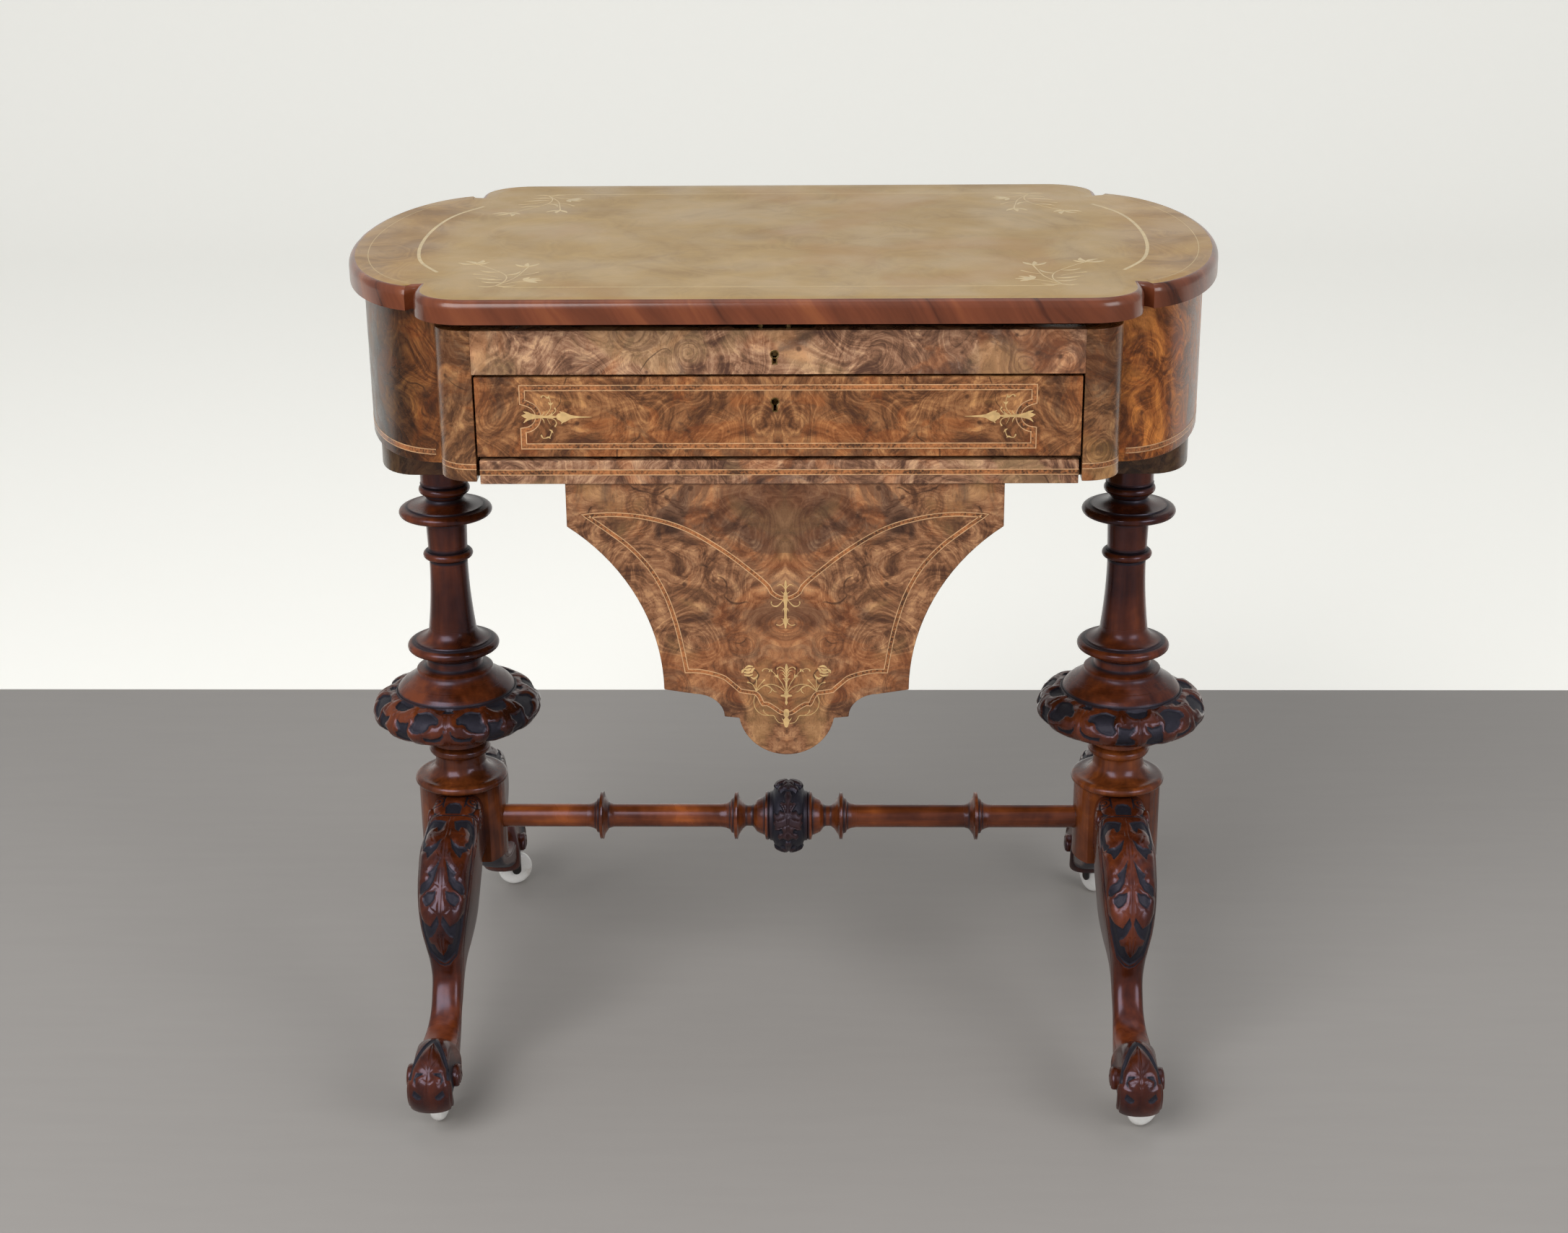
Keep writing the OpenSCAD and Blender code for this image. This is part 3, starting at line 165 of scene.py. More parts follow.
class Finish:
    """One procedural finish. Each call adds shader nodes and gives back their output."""

    def __init__(self, name, roughness=0.4, coat=0.0, metallic=0.0, specular=0.5):
        self.material = bpy.data.materials.new(name)
        self.material.use_nodes = True
        self.tree = self.material.node_tree
        self.tree.nodes.clear()
        out = self.tree.nodes.new("ShaderNodeOutputMaterial")
        self.shader = self.tree.nodes.new("ShaderNodeBsdfPrincipled")
        self.tree.links.new(self.shader.outputs[0], out.inputs[0])
        self.set(Roughness=roughness, Metallic=metallic, Coat_Weight=coat, Coat_Roughness=0.12,
                 Specular_IOR_Level=specular)

    def feed(self, socket, value):
        if isinstance(value, Wire):
            self.tree.links.new(value.socket, socket)
        elif socket.type == "RGBA":
            socket.default_value = (*value, 1)
        else:
            socket.default_value = value

    def set(self, **inputs):
        for name, value in inputs.items():
            self.feed(self.shader.inputs[name.replace("_", " ")], value)

    def node(self, kind, inputs, output=0, **settings):
        node = self.tree.nodes.new("ShaderNode" + kind)
        for name, value in settings.items():
            setattr(node, name, value)
        for key, value in inputs.items():
            self.feed(node.inputs[key], value)
        return Wire(self, node.outputs[output])

    def point(self, shift=(0, 0, 0), stretch=(1, 1, 1)):
        where = self.node("TexCoord", {}, "Object")
        return self.node("Mapping", {"Vector": where, "Location": shift, "Scale": stretch})

    def parts(self, vector):
        """The x, y and z of a vector."""
        node = self.tree.nodes.new("ShaderNodeSeparateXYZ")
        self.feed(node.inputs[0], vector)
        return [Wire(self, part) for part in node.outputs]

    def noise(self, vector, scale, detail=3, roughness=0.5, distortion=0.0, output=0):
        return self.node("TexNoise", {"Vector": vector, "Scale": scale, "Detail": detail,
                                      "Roughness": roughness, "Distortion": distortion}, output)

    def cells(self, vector, scale, **settings):
        return self.node("TexVoronoi", {"Vector": vector, "Scale": scale}, "Distance", **settings)

    def math(self, operation, a, b=0.0, clamp=False):
        return self.node("Math", {0: a, 1: b}, operation=operation, use_clamp=clamp)

    def vector(self, operation, a, b):
        return self.node("VectorMath", {0: a, 1: b}, operation=operation)

    def warped(self, vector, scale, amount):
        """The point moved about by a soft noise, which bends whatever is drawn on it."""
        push = self.vector("SUBTRACT", self.noise(vector, scale, 2, output="Color"),
                           (0.5, 0.5, 0.5))
        push = self.node("VectorMath", {0: push, 3: amount}, operation="SCALE")
        return self.vector("ADD", vector, push)

    def step(self, value, low, high, to_low=0.0, to_high=1.0):
        return self.node("MapRange", {0: value, 1: low, 2: high, 3: to_low, 4: to_high},
                         interpolation_type="SMOOTHSTEP")

    def blend(self, share, a, b, kind="MIX"):
        return self.node("Mix", {0: share, 6: a, 7: b}, 2, data_type="RGBA", blend_type=kind)

    def ramp(self, value, stops):
        node = self.tree.nodes.new("ShaderNodeValToRGB")
        self.feed(node.inputs[0], value)
        band = node.color_ramp.elements
        while len(band) < len(stops):
            band.new(0.5)
        for element, (place, colour) in zip(band, stops):
            element.position = place
            element.color = (*colour, 1)
        return Wire(self, node.outputs[0])

    def bump(self, height, distance, strength):
        self.set(Normal=self.node("Bump", {"Height": height, "Distance": distance,
                                           "Strength": strength}))


def tint(colour, factor, pull=(1, 1, 1)):
    return tuple(min(1.0, c * factor * p) for c, p in zip(colour, pull))


FINISHES = {}


def finish(name):
    """Makes a finish the first time it is asked for."""
    if name not in FINISHES:
        kind, _, variant = name.partition(".")
        FINISHES[name] = MAKERS[kind](name, variant)
    return FINISHES[name]


# Each burr veneer: place in the pattern, fold line for a book match, tone, share of dark, cast
BURRS = {
    # The rail's bluish cast is a painted sheen of reflected sky over a dusty, faded tone
    "rail": ((3.1, 0.2, 1.7), None, 1.08, 0.54, (1.1, 1.25, 1.75)),
    "drawer": ((0.0, 4.4, 0.31), 0.0, 0.97, 0.52, (1.06, 0.98, 0.92)),
    "panel": ((0.0, 7.3, 2.2), 0.0045, 1.03, 0.515, (1, 1, 1.15)),
    # The left end is toned darker as painted shade, and the right one lighter and more orange as
    # painted light
    "end_left": ((5.7, 1.3, 4.4), None, 0.29, 0.49, (1.05, 0.88, 0.62)),
    "end_right": ((5.7, 1.3, 4.4), None, 1.08, 0.52, (1.12, 0.76, 0.38)),
    "post": ((2.6, 6.1, 0.8), None, 0.95, 0.52, (1, 1, 1)),
    "bearer": ((8.2, 2.1, 3.3), None, 0.25, 0.60, (1, 1, 1)),
}


def burr_flow(f, p, lines):
    """The figure of a burr: growth lines that run round knots, and how near a knot is."""
    field = f.noise(f.warped(p, 7, 0.09), 12, detail=1, roughness=0.4, distortion=0.5)
    near = f.step(f.cells(f.warped(p, 18, 0.016), 24, feature="SMOOTH_F1"), 0.46, 0.06)
    wander = f.noise(p, 70, detail=4, roughness=0.65)
    level = (field + near * 0.13) * lines + wander * 1.6
    growth = f.node("TexNoise", {"W": level, "Scale": 1.0, "Detail": 5.0, "Roughness": 0.7},
                    noise_dimensions="1D")
    return growth, near


def burr_walnut(name, variant):
    """Burr walnut: soft swirls, smoky, orange and olive clouds, knots with dark rings, cracks."""
    place, fold, tone, dark_share, cast = BURRS[variant]
    c = colours()
    dark, mid, light = (tint(shade, tone, cast) for shade in
                        (c.burr_dark, c.burr_mid, c.burr_light))
    f = Finish(name, roughness=0.3, coat=0.1, specular=0.35)
    p = f.point()
    x, y, z = f.parts(p)
    if fold is not None:
        p = f.node("CombineXYZ", {0: abs(x - fold), 1: y, 2: z})
    p = f.vector("ADD", p, place)
    growth, near = burr_flow(f, p, 40)
    soft = f.noise(f.warped(p, 12, 0.07), 24, detail=9, roughness=0.7, distortion=1.8)
    value = growth * 0.26 + soft * 0.74
    base = f.ramp(value, [
        (0.40, tint(dark, 0.9)), (0.455, tint(mid, 0.55)), (0.505, tint(mid, 0.98)),
        (0.555, tint(light, 0.88)), (0.62, tint(light, 1.34, (1, 1.06, 1.0)))])
    glow = f.step(f.noise(f.warped(p, 8, 0.1), 9, detail=6, roughness=0.62, distortion=1.6),
                  0.49, 0.58)
    orange = f.ramp(value, [(0.40, tint(mid, 1.0, (1.12, 0.75, 0.5))),
                            (0.62, tint(light, 1.05, (1.12, 0.8, 0.5)))])
    base = f.blend(glow * 0.42, base, orange)
    olive = f.step(f.noise(f.vector("ADD", p, (1.3, 0, 0.7)), 8, detail=5, distortion=1.4),
                   0.53, 0.62)
    base = f.blend(olive * 0.38, base, tint(light, 0.98, (0.98, 1.12, 0.9)))
    smoke_and_panel_shadow = f.noise(f.warped(p, 9, 0.1), 9, detail=7, roughness=0.64, distortion=1.4)
    # Painted shadow: the panel darkens towards its top, under the case above it
    if variant == "panel":
        smoke_and_panel_shadow += f.step(z, 0.43, 0.54, -0.05, 0.02)
    smoke_and_panel_shadow = f.step(smoke_and_panel_shadow + growth * 0.12, dark_share + 0.06, dark_share + 0.15)
    base = f.blend(smoke_and_panel_shadow * 0.85, base, (0.40, 0.42, 0.52), "MULTIPLY")
    rings = f.step(abs(near - 0.42), 0.10, 0.0)
    whorls = f.step(f.math("SINE", (near + soft * 0.25) * 30), 0.1, 0.95)
    veins = f.step(abs(growth - 0.47), 0.014, 0.0)
    eyes = f.step(f.cells(f.warped(p, 60, 0.005), 75), 0.2, 0.07)
    eyes *= f.step(f.noise(p, 15, detail=1), 0.50, 0.56)
    cracks = f.step(abs(f.noise(f.warped(p, 30, 0.02), 9, detail=3) - 0.5), 0.005, 0.0)
    cracks *= f.step(f.noise(p, 26), 0.55, 0.62)
    pores = f.step(f.noise(f.vector("MULTIPLY", p, (1, 1, 0.3)), 900, detail=1), 0.60, 0.70)
    for mark, share, shade in ((rings, 0.45, 0.9), (whorls, f.step(near, 0.03, 0.22, 0, 0.38), 1),
                               (veins, 0.28, 0.8), (eyes, 0.75, 0.6), (cracks, 0.8, 0.4),
                               (pores, 0.3, 0.8)):
        base = f.blend(mark * share, base, tint(dark, shade))
    # Painted light: the left end is lighter beside its post, where its bend faces the light
    if variant == "end_left":
        base = f.blend(f.step(x, -0.299, -0.27), base, (2.4, 2.1, 1.8), "MULTIPLY")
    f.set(Base_Color=base, Roughness=f.step(soft, 0.3, 0.7, 0.22, 0.36))
    f.bump(value + pores * -0.4, 0.0002, 0.3)
    return f.material


def top_veneer(name, variant):
    """The top's veneer: faded to a light olive brown, with faint swirls; browner at the
    bowed ends."""
    c = colours().top_veneer
    f = Finish(name, roughness=0.4, specular=0.3)
    here = f.point()
    p = f.vector("ADD", here, (1.4, 0.3, 0))
    growth = burr_flow(f, p, 30)[0]
    soft = f.noise(f.warped(p, 9, 0.07), 10, detail=5, roughness=0.62, distortion=1.2)
    value = growth * 0.25 + soft * 0.75
    base = f.ramp(value, [(0.36, tint(c, 0.80, (1, 0.94, 0.86))), (0.47, tint(c, 0.95)),
                          (0.55, tint(c, 1.03)), (0.68, tint(c, 1.14, (1, 1.02, 1.06)))])
    warm = f.step(f.noise(f.vector("ADD", p, (3, 1, 0)), 6, detail=4, distortion=1.5), 0.5, 0.66)
    base = f.blend(warm * 0.4, base, tint(c, 0.84, (1.14, 0.9, 0.68)))
    ends = f.step(abs(f.parts(here)[0]), 0.255, 0.30)
    brown = f.ramp(value, [(0.36, tint(c, 0.5, (1.05, 0.8, 0.62))),
                           (0.5, tint(c, 0.84, (1.08, 0.94, 0.86))),
                           (0.66, tint(c, 1.12, (1.04, 1, 0.98)))])
    f.set(Base_Color=f.blend(ends * 0.8, base, brown),
          Roughness=f.step(f.noise(p, 14, detail=4), 0.3, 0.7, 0.28, 0.42))
    f.bump(value + f.noise(p, 420, detail=2) * 0.2, 0.0002, 0.3)
    return f.material


def cross_band(name, variant):
    """Banding with its grain across the edge: slanting streaks, dark and light."""
    c = colours().cross_band
    f = Finish(name, roughness=0.24, coat=0.15)
    along, up = f.parts(f.warped(f.node("TexCoord", {}, "UV"), 18, 0.012))[:2]
    grain = f.node("CombineXYZ", {0: along + up * 0.5, 1: up * 0.1})
    broad = f.noise(grain, 24, detail=4, roughness=0.55, distortion=0.9)
    value = broad * 0.84 + f.noise(grain, 300, detail=3, roughness=0.6) * 0.16
    f.set(Base_Color=f.ramp(value, [(0.35, tint(c, 0.25, (1, 0.8, 0.8))), (0.42, tint(c, 0.72)),
                                    (0.54, tint(c, 1.08)), (0.66, tint(c, 1.5, (1, 1.12, 1.0)))]))
    f.bump(value, 0.0002, 0.3)
    return f.material


def along_grain(axis, squeeze):
    """The stretch that makes a pattern run along an axis."""
    return tuple(squeeze if letter == axis else 1 for letter in "xyz")


# Brightness and share of green of the polished wood's tones
TONES = {"": (1.1, 1.05), "dark": (0.95, 1), "light": (2.1, 1.18), "warm": (1.7, 1.2)}


def polished(name, variant):
    """Stained, polished mahogany with its grain along the piece; carved grounds, hollow corners
    and shaded sides carry painted shade with some grime.
    """
    c = colours()
    f = Finish(name, roughness=0.24, coat=0.04, specular=0.42)
    axis, _, tone = variant.partition(".")
    bright, green = TONES[tone]
    wood = tint(c.mahogany, bright, (1, green, 0.8))
    flow = f.warped(f.point(stretch=along_grain(axis, 0.07)), 12, 0.03)
    grain = f.noise(flow, 150, detail=3, roughness=0.55)
    broad = f.noise(f.warped(f.point((2, 1, 0)), 9, 0.05), 13, detail=4, roughness=0.6)
    base = f.ramp(grain * 0.28 + broad * 0.72, [
        (0.36, tint(wood, 0.3, (1, 0.9, 0.9))), (0.46, tint(wood, 0.8)),
        (0.55, tint(wood, 1.45)), (0.65, tint(wood, 2.7, (1, 1.05, 0.9)))])
    # The attribute marks painted shade, with some grime: carved grounds, hollow corners, the legs'
    # inner sides and the castor pockets
    recess = f.node("Attribute", {}, "Fac", attribute_name="recess")
    dirt = f.noise(f.point(), 240, detail=4, roughness=0.7)
    ground = f.blend(dirt, tint(c.recess, 0.5), tint(c.recess, 1.4))
    f.set(Base_Color=f.blend(f.step(recess, 0.12, 0.75), base, ground),
          Roughness=f.step(broad, 0.3, 0.7, 0.18, 0.28) + recess * 0.34,
          Specular_Tint=(0.84, 0.76, 1.0))
    f.bump(grain * 0.12 + dirt * recess * 1.6, 0.0004, 0.5)
    return f.material


def deal(name, variant):
    """Planed softwood for inner boards and the back, browned by age, with long grain."""
    c = colours().deal
    f = Finish(name, roughness=0.62)
    p = f.warped(f.point(stretch=along_grain(variant, 0.06)), 9, 0.02)
    rings = f.noise(p, 55, detail=3, roughness=0.55, distortion=0.4)
    value = rings * 0.7 + f.noise(p, 420, detail=3, roughness=0.7) * 0.3
    base = f.ramp(value, [(0.34, tint(c, 0.5, (1, 0.85, 0.72))), (0.47, tint(c, 0.85)),
                          (0.58, tint(c, 1.08)), (0.72, tint(c, 1.3))])
    stain = f.step(f.noise(f.point(), 8, detail=4, roughness=0.6), 0.5, 0.72)
    f.set(Base_Color=f.blend(stain * 0.4, base, tint(c, 0.5, (1, 0.86, 0.7))))
    f.bump(value, 0.0004, 0.5)
    return f.material


# Each light wood: name of its colour, its darkest and brightest parts, scale of its grain
LIGHT_WOODS = {"box": ("boxwood", 0.8, 1.15, 240), "line": ("line_wood", 0.75, 1.15, 240),
               "tulip": ("tulipwood", 0.25, 1.6, 620), "faded": ("faded_inlay", 0.88, 1.15, 240)}


def light_wood(name, variant):
    """Boxwood, the thin lines, the redder tulipwood between them, or the top's faded inlay."""
    shade, dark, bright, scale = LIGHT_WOODS[variant]
    c = getattr(colours(), shade)
    f = Finish(name, roughness=0.32, coat=0.15)
    p = f.point()
    value = f.noise(p, scale, detail=1) * 0.5 + f.noise(p, 45, detail=2) * 0.5
    f.set(Base_Color=f.ramp(value, [(0.38, tint(c, dark)), (0.51, c), (0.64, tint(c, bright))]))
    f.bump(value, 0.0001, 0.3)
    return f.material


def brass(name, variant):
    """Dull brass, brown where it isn't rubbed."""
    c = colours().brass
    f = Finish(name, roughness=0.35, metallic=1.0)
    p = f.point()
    tarnish = f.step(f.noise(p, 160, detail=5, roughness=0.65), 0.36, 0.56)
    f.set(Base_Color=f.blend(tarnish, c, tint(c, 0.42, (1, 0.82, 0.62))),
          Roughness=f.step(f.noise(p, 420, detail=3), 0.3, 0.7, 0.26, 0.5))
    f.bump(f.noise(p, 700, detail=3), 0.0001, 0.3)
    return f.material


def iron(name, variant):
    """Dark iron with a trace of rust."""
    f = Finish(name, roughness=0.55, metallic=0.4, specular=0.35)
    p = f.point()
    rust = f.step(f.noise(p, 120, detail=6, roughness=0.7), 0.52, 0.68)
    f.set(Base_Color=f.blend(rust * 0.6, colours().iron, (0.11, 0.045, 0.02)),
          Roughness=rust * 0.3 + 0.4)
    f.bump(f.noise(p, 300, detail=5, roughness=0.7), 0.0004, 0.5)
    return f.material


def ceramic(name, variant):
    """White glaze with faint crazing and some brown dirt."""
    f = Finish(name, roughness=0.12, coat=0.6)
    p = f.point()
    dirt = f.step(f.noise(p, 60, detail=5, roughness=0.65), 0.56, 0.72)
    crazing = f.step(f.cells(p, 260, feature="DISTANCE_TO_EDGE"), 0.03, 0.0)
    mark = f.math("MAXIMUM", dirt * 0.4, crazing * 0.14)
    f.set(Base_Color=f.blend(mark, colours().ceramic, (0.35, 0.26, 0.17)),
          Roughness=f.step(dirt, 0, 1, 0.1, 0.35))
    f.bump(f.noise(p, 90, detail=2), 0.0002, 0.2)
    return f.material


# Each kind of finish and how it is made
MAKERS = {"burr": burr_walnut, "top": top_veneer, "band": cross_band, "polished": polished,
          "deal": deal, "light": light_wood, "brass": brass, "iron": iron, "ceramic": ceramic}


# Making pieces

def linked(name, data):
    """A new object in the scene."""
    obj = bpy.data.objects.new(name, data)
    bpy.context.scene.collection.objects.link(obj)
    return obj


def shaped(obj, *helpers):
    """The plain mesh that an object's modifiers make. The object and its helpers go."""
    graph = bpy.context.evaluated_depsgraph_get()
    result = bpy.data.meshes.new_from_object(obj.evaluated_get(graph), depsgraph=graph)
    for old in (obj, *helpers):
        mesh = old.data
        bpy.data.objects.remove(old)
        bpy.data.meshes.remove(mesh)
    return result


def piece(name, mesh, body, materials, replaced=(), sharp=35):
    """Links a finished mesh as a piece that rides on a body and stands for CAD nodes."""
    for material in materials:
        mesh.materials.append(material)
    mesh.shade_smooth()
    mesh.set_sharp_from_angle(angle=math.radians(sharp))
    obj = linked(name, mesh)
    if replaced:
        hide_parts(*replaced)
    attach(obj, body)
    return obj


def mesh_of(name, points, faces):
    mesh = bpy.data.meshes.new(name)
    mesh.from_pydata([tuple(map(float, p)) for p in points], [], faces)
    mesh.validate()
    return mesh


def outwards(mesh, merge=1e-6, close=False):
    """Turns the faces of a mesh outwards, and may merge its points and close its open ends."""
    work = bmesh.new()
    work.from_mesh(mesh)
    if close:
        ends = [edge for edge in work.edges if edge.is_boundary]
        bmesh.ops.holes_fill(work, edges=ends, sides=0)
    if merge:
        bmesh.ops.remove_doubles(work, verts=work.verts, dist=merge)
    bmesh.ops.recalc_face_normals(work, faces=work.faces)
    work.to_mesh(mesh)
    work.free()
    return mesh


def merged_copy(node):
    """A copy of a CAD node's mesh with its loose triangles joined into whole faces."""
    mesh = frame["nodes"][node].data.copy()
    mesh.materials.clear()
    work = bmesh.new()
    work.from_mesh(mesh)
    bmesh.ops.remove_doubles(work, verts=work.verts, dist=1e-5)
    bmesh.ops.dissolve_limit(work, angle_limit=math.radians(0.6), verts=work.verts,
                             edges=work.edges)
    work.to_mesh(mesh)
    work.free()
    for layer in list(mesh.uv_layers):
        mesh.uv_layers.remove(layer)
    return mesh


def wear_edges(obj, share):
    """Rounds the sharp edges of a board or fitting."""
    worn = obj.modifiers.new("worn edges", "BEVEL")
    worn.width = sizes().edge_wear * share
    worn.segments = 2
    worn.limit_method = "ANGLE"
    worn.angle_limit = math.radians(35)
    worn.harden_normals = True


def softened(finish_name, *nodes, wear=1.0):
    """Boards or fittings as in the CAD, with their edges worn round."""
    for node in nodes:
        obj = piece("soft_" + node, merged_copy(node), frame["nodes"][node]["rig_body"],
                    [finish(finish_name)], [node])
        wear_edges(obj, wear)


def paint(mesh, name, values):
    """Stores one number for each point of a mesh, for a finish to read."""
    layer = mesh.attributes.new(name, "FLOAT", "POINT")
    layer.data.foreach_set("value", np.asarray(values, np.float32).ravel())


def smooth_rows(rows, steps):
    """Points on a smooth curve through the rows."""
    count = len(rows)
    t = np.linspace(0, count - 1, steps)
    k = np.minimum(t.astype(int), count - 2)
    f = (t - k)[:, None]
    p = [rows[np.clip(k + d, 0, count - 1)] for d in (-1, 0, 1, 2)]
    return 0.5 * (2 * p[1] + (p[2] - p[0]) * f + (2 * p[0] - 5 * p[1] + 4 * p[2] - p[3]) * f ** 2
                  + (3 * p[1] - p[0] - 3 * p[2] + p[3]) * f ** 3)


# Inlay

SAME_POINT = 0.02   # mm, nearer points of a path are one
WIDEST_MITRE = 2.2  # how much wider a path gets at most in a sharp corner
STAGGER = 0.003     # mm from one plate of a spray to the next, so that no two are level
PLATE_BASE = -0.1   # mm, lower side of the plates, inside the veneer


def node_tree(name, inputs):
    """A geometry node tree with named inputs, its input sockets, and a way to add nodes."""
    tree = bpy.data.node_groups.new(name, "GeometryNodeTree")
    tree.is_modifier = True
    tree.interface.new_socket("Geometry", in_out="INPUT", socket_type="NodeSocketGeometry")
    for label, kind in inputs:
        tree.interface.new_socket(label, in_out="INPUT", socket_type="NodeSocket" + kind)
    tree.interface.new_socket("Geometry", in_out="OUTPUT", socket_type="NodeSocketGeometry")

    def add(kind, inputs, output=0, **settings):
        node = tree.nodes.new(kind)
        for key, value in settings.items():
            setattr(node, key, value)
        for key, value in inputs.items():
            for one in value if isinstance(value, list) else [value]:
                if isinstance(one, bpy.types.NodeSocket):
                    tree.links.new(one, node.inputs[key])
                else:
                    node.inputs[key].default_value = one
        return node.outputs[output] if node.outputs else None

    return tree, tree.nodes.new("NodeGroupInput").outputs, add


def band_tree():
    """Two thin lines and the band between them, laid along a path. The path's points carry
    the width that a mitred corner needs."""
    tree, given, add = node_tree("inlaid band", [
        ("Shift", "Vector"), ("Line", "Vector"), ("Band", "Vector"), ("Line wood", "Material"),
        ("Band wood", "Material")])
    path = add("GeometryNodeMeshToCurve", {"Mesh": given["Geometry"]})
    path = add("GeometryNodeSetCurveNormal", {"Curve": path}, mode="Z_UP")
    mitre = add("GeometryNodeInputNamedAttribute", {"Name": "mitre"}, data_type="FLOAT")
    path = add("GeometryNodeSetCurveRadius", {"Curve": path, "Radius": mitre})

    def strip(size, shift=None):
        part = tree.nodes.new("ShaderNodeSeparateXYZ")
        tree.links.new(size, part.inputs[0])
        profile = add("GeometryNodeCurvePrimitiveQuadrilateral",
                      {"Width": part.outputs[0], "Height": part.outputs[1]}, mode="RECTANGLE")
        if shift is not None:
            profile = add("GeometryNodeTransform", {"Geometry": profile, "Translation": shift})
        return add("GeometryNodeCurveToMesh", {"Curve": path, "Profile Curve": profile,
                                               "Scale": mitre, "Fill Caps": True})

    other = add("ShaderNodeVectorMath", {0: given["Shift"], 3: -1.0}, operation="SCALE")
    band = add("GeometryNodeStoreNamedAttribute",
               {"Geometry": strip(given["Band"]), "Name": "between", "Value": True},
               data_type="BOOLEAN", domain="FACE")
    whole = add("GeometryNodeJoinGeometry", {0: [strip(given["Line"], given["Shift"]),
                                                 strip(given["Line"], other), band]})
    whole = add("GeometryNodeRealizeInstances", {"Geometry": whole})
    whole = add("GeometryNodeSetMaterial", {"Geometry": whole, "Material": given["Line wood"]})
    chosen = add("GeometryNodeInputNamedAttribute", {"Name": "between"}, data_type="BOOLEAN")
    whole = add("GeometryNodeSetMaterial", {"Geometry": whole, "Selection": chosen,
                                            "Material": given["Band wood"]})
    add("NodeGroupOutput", {0: whole})
    return tree


def line_tree():
    """One plain line, laid along a path."""
    tree, given, add = node_tree("inlaid line", [("Width", "Float"), ("Height", "Float"),
                                                 ("Wood", "Material")])
    path = add("GeometryNodeMeshToCurve", {"Mesh": given["Geometry"]})
    path = add("GeometryNodeSetCurveNormal", {"Curve": path}, mode="Z_UP")
    profile = add("GeometryNodeCurvePrimitiveQuadrilateral",
                  {"Width": given["Width"], "Height": given["Height"]}, mode="RECTANGLE")
    strip = add("GeometryNodeCurveToMesh", {"Curve": path, "Profile Curve": profile,
                                            "Fill Caps": True})
    strip = add("GeometryNodeRealizeInstances", {"Geometry": strip})
    strip = add("GeometryNodeSetMaterial", {"Geometry": strip, "Material": given["Wood"]})
    add("NodeGroupOutput", {0: strip})
    return tree


TREES = {}


def grown(mesh, build, **values):
    """What a node tree makes of a mesh, as a plain mesh."""
    if build not in TREES:
        TREES[build] = build()
    tree = TREES[build]
    obj = linked(mesh.name, mesh)
    modifier = obj.modifiers.new("nodes", "NODES")
    modifier.node_group = tree
    for item in tree.interface.items_tree:
        key = item.name.replace(" ", "_")
        if item.item_type == "SOCKET" and item.in_out == "INPUT" and key in values:
            modifier[item.identifier] = values.pop(key)
    if values:
        raise RuntimeError(f"{tree.name} has no input for {sorted(values)}")
    result = shaped(obj)
    if not result.polygons:
        raise RuntimeError(f"{tree.name} made nothing of {result.name}")
    return result


def curve(*points, step=2.0):
    """Points on a smooth line through the given ones."""
    rows = np.array(points, float)
    length = np.linalg.norm(np.diff(rows, axis=0), axis=1).sum()
    return smooth_rows(rows, max(4, int(length / step)))


def mirrored(run):
    """The same run on the other side of the middle line, from its other end."""
    return np.array(run, float)[::-1] * (-1, 1)


def path_mesh(name, runs, closed_path=False):
    """A mesh of edges along the runs, in mm, with the extra width for each corner."""
    points = np.concatenate([np.asarray(run, float) for run in runs])
    apart = np.linalg.norm(np.diff(points, axis=0), axis=1) > SAME_POINT
    points = points[np.concatenate([[True], apart])]
    if closed_path and np.linalg.norm(points[0] - points[-1]) < SAME_POINT:
        points = points[:-1]
    count = len(points)
    ahead, behind = np.roll(points, -1, 0) - points, points - np.roll(points, 1, 0)
    if not closed_path:
        ahead[-1], behind[0] = behind[-1], ahead[0]
    cosine = (ahead * behind).sum(1) / (np.linalg.norm(ahead, axis=1)
                                        * np.linalg.norm(behind, axis=1))
    mitre = np.minimum(1 / np.sqrt(np.clip((1 + cosine) / 2, 0.05, 1)), WIDEST_MITRE)
    mesh = bpy.data.meshes.new(name)
    edges = [(i, (i + 1) % count) for i in range(count if closed_path else count - 1)]
    mesh.from_pydata([(p[0] * MM, p[1] * MM, 0) for p in points], edges, [])
    paint(mesh, "mitre", mitre)
    return mesh


def on_front(y):
    """Takes a flat drawing in (x, z) to a face that looks to the front at the depth y in mm."""
    return Matrix(((1, 0, 0, 0), (0, 0, -1, y * MM), (0, 1, 0, 0), (0, 0, 0, 1)))


def at_height(z):
    return Matrix.Translation((0, 0, z * MM))


def inlaid_band(name, runs, frame_in, body, share=1.0, upright=False, closed_path=False):
    """Lays a band on a face; an upright one stands on edge and follows a bent face."""
    s = sizes()
    width, high = s.band_width * share, s.inlay_rise * 2

    def lay(across, up):
        return (up, across, 0) if upright else (across, up, 0)

    mesh = grown(path_mesh(name, runs, closed_path), band_tree, Shift=lay(width / 2, 0),
                 Line=lay(s.line_width, high), Band=lay(width, high * 0.8),
                 Line_wood=finish("light.line"), Band_wood=finish("light.tulip"))
    mesh.transform(frame_in)
    piece(name, mesh, body, [], sharp=30)


def inlaid_line(name, run, frame_in, width):
    """Lays one thin line of faded wood in the top."""
    mesh = grown(path_mesh(name, [run]), line_tree, Width=width * MM, Height=0.06 * MM,
                 Wood=finish("light.faded"))
    mesh.transform(frame_in)
    piece(name, mesh, "top", [], sharp=30)


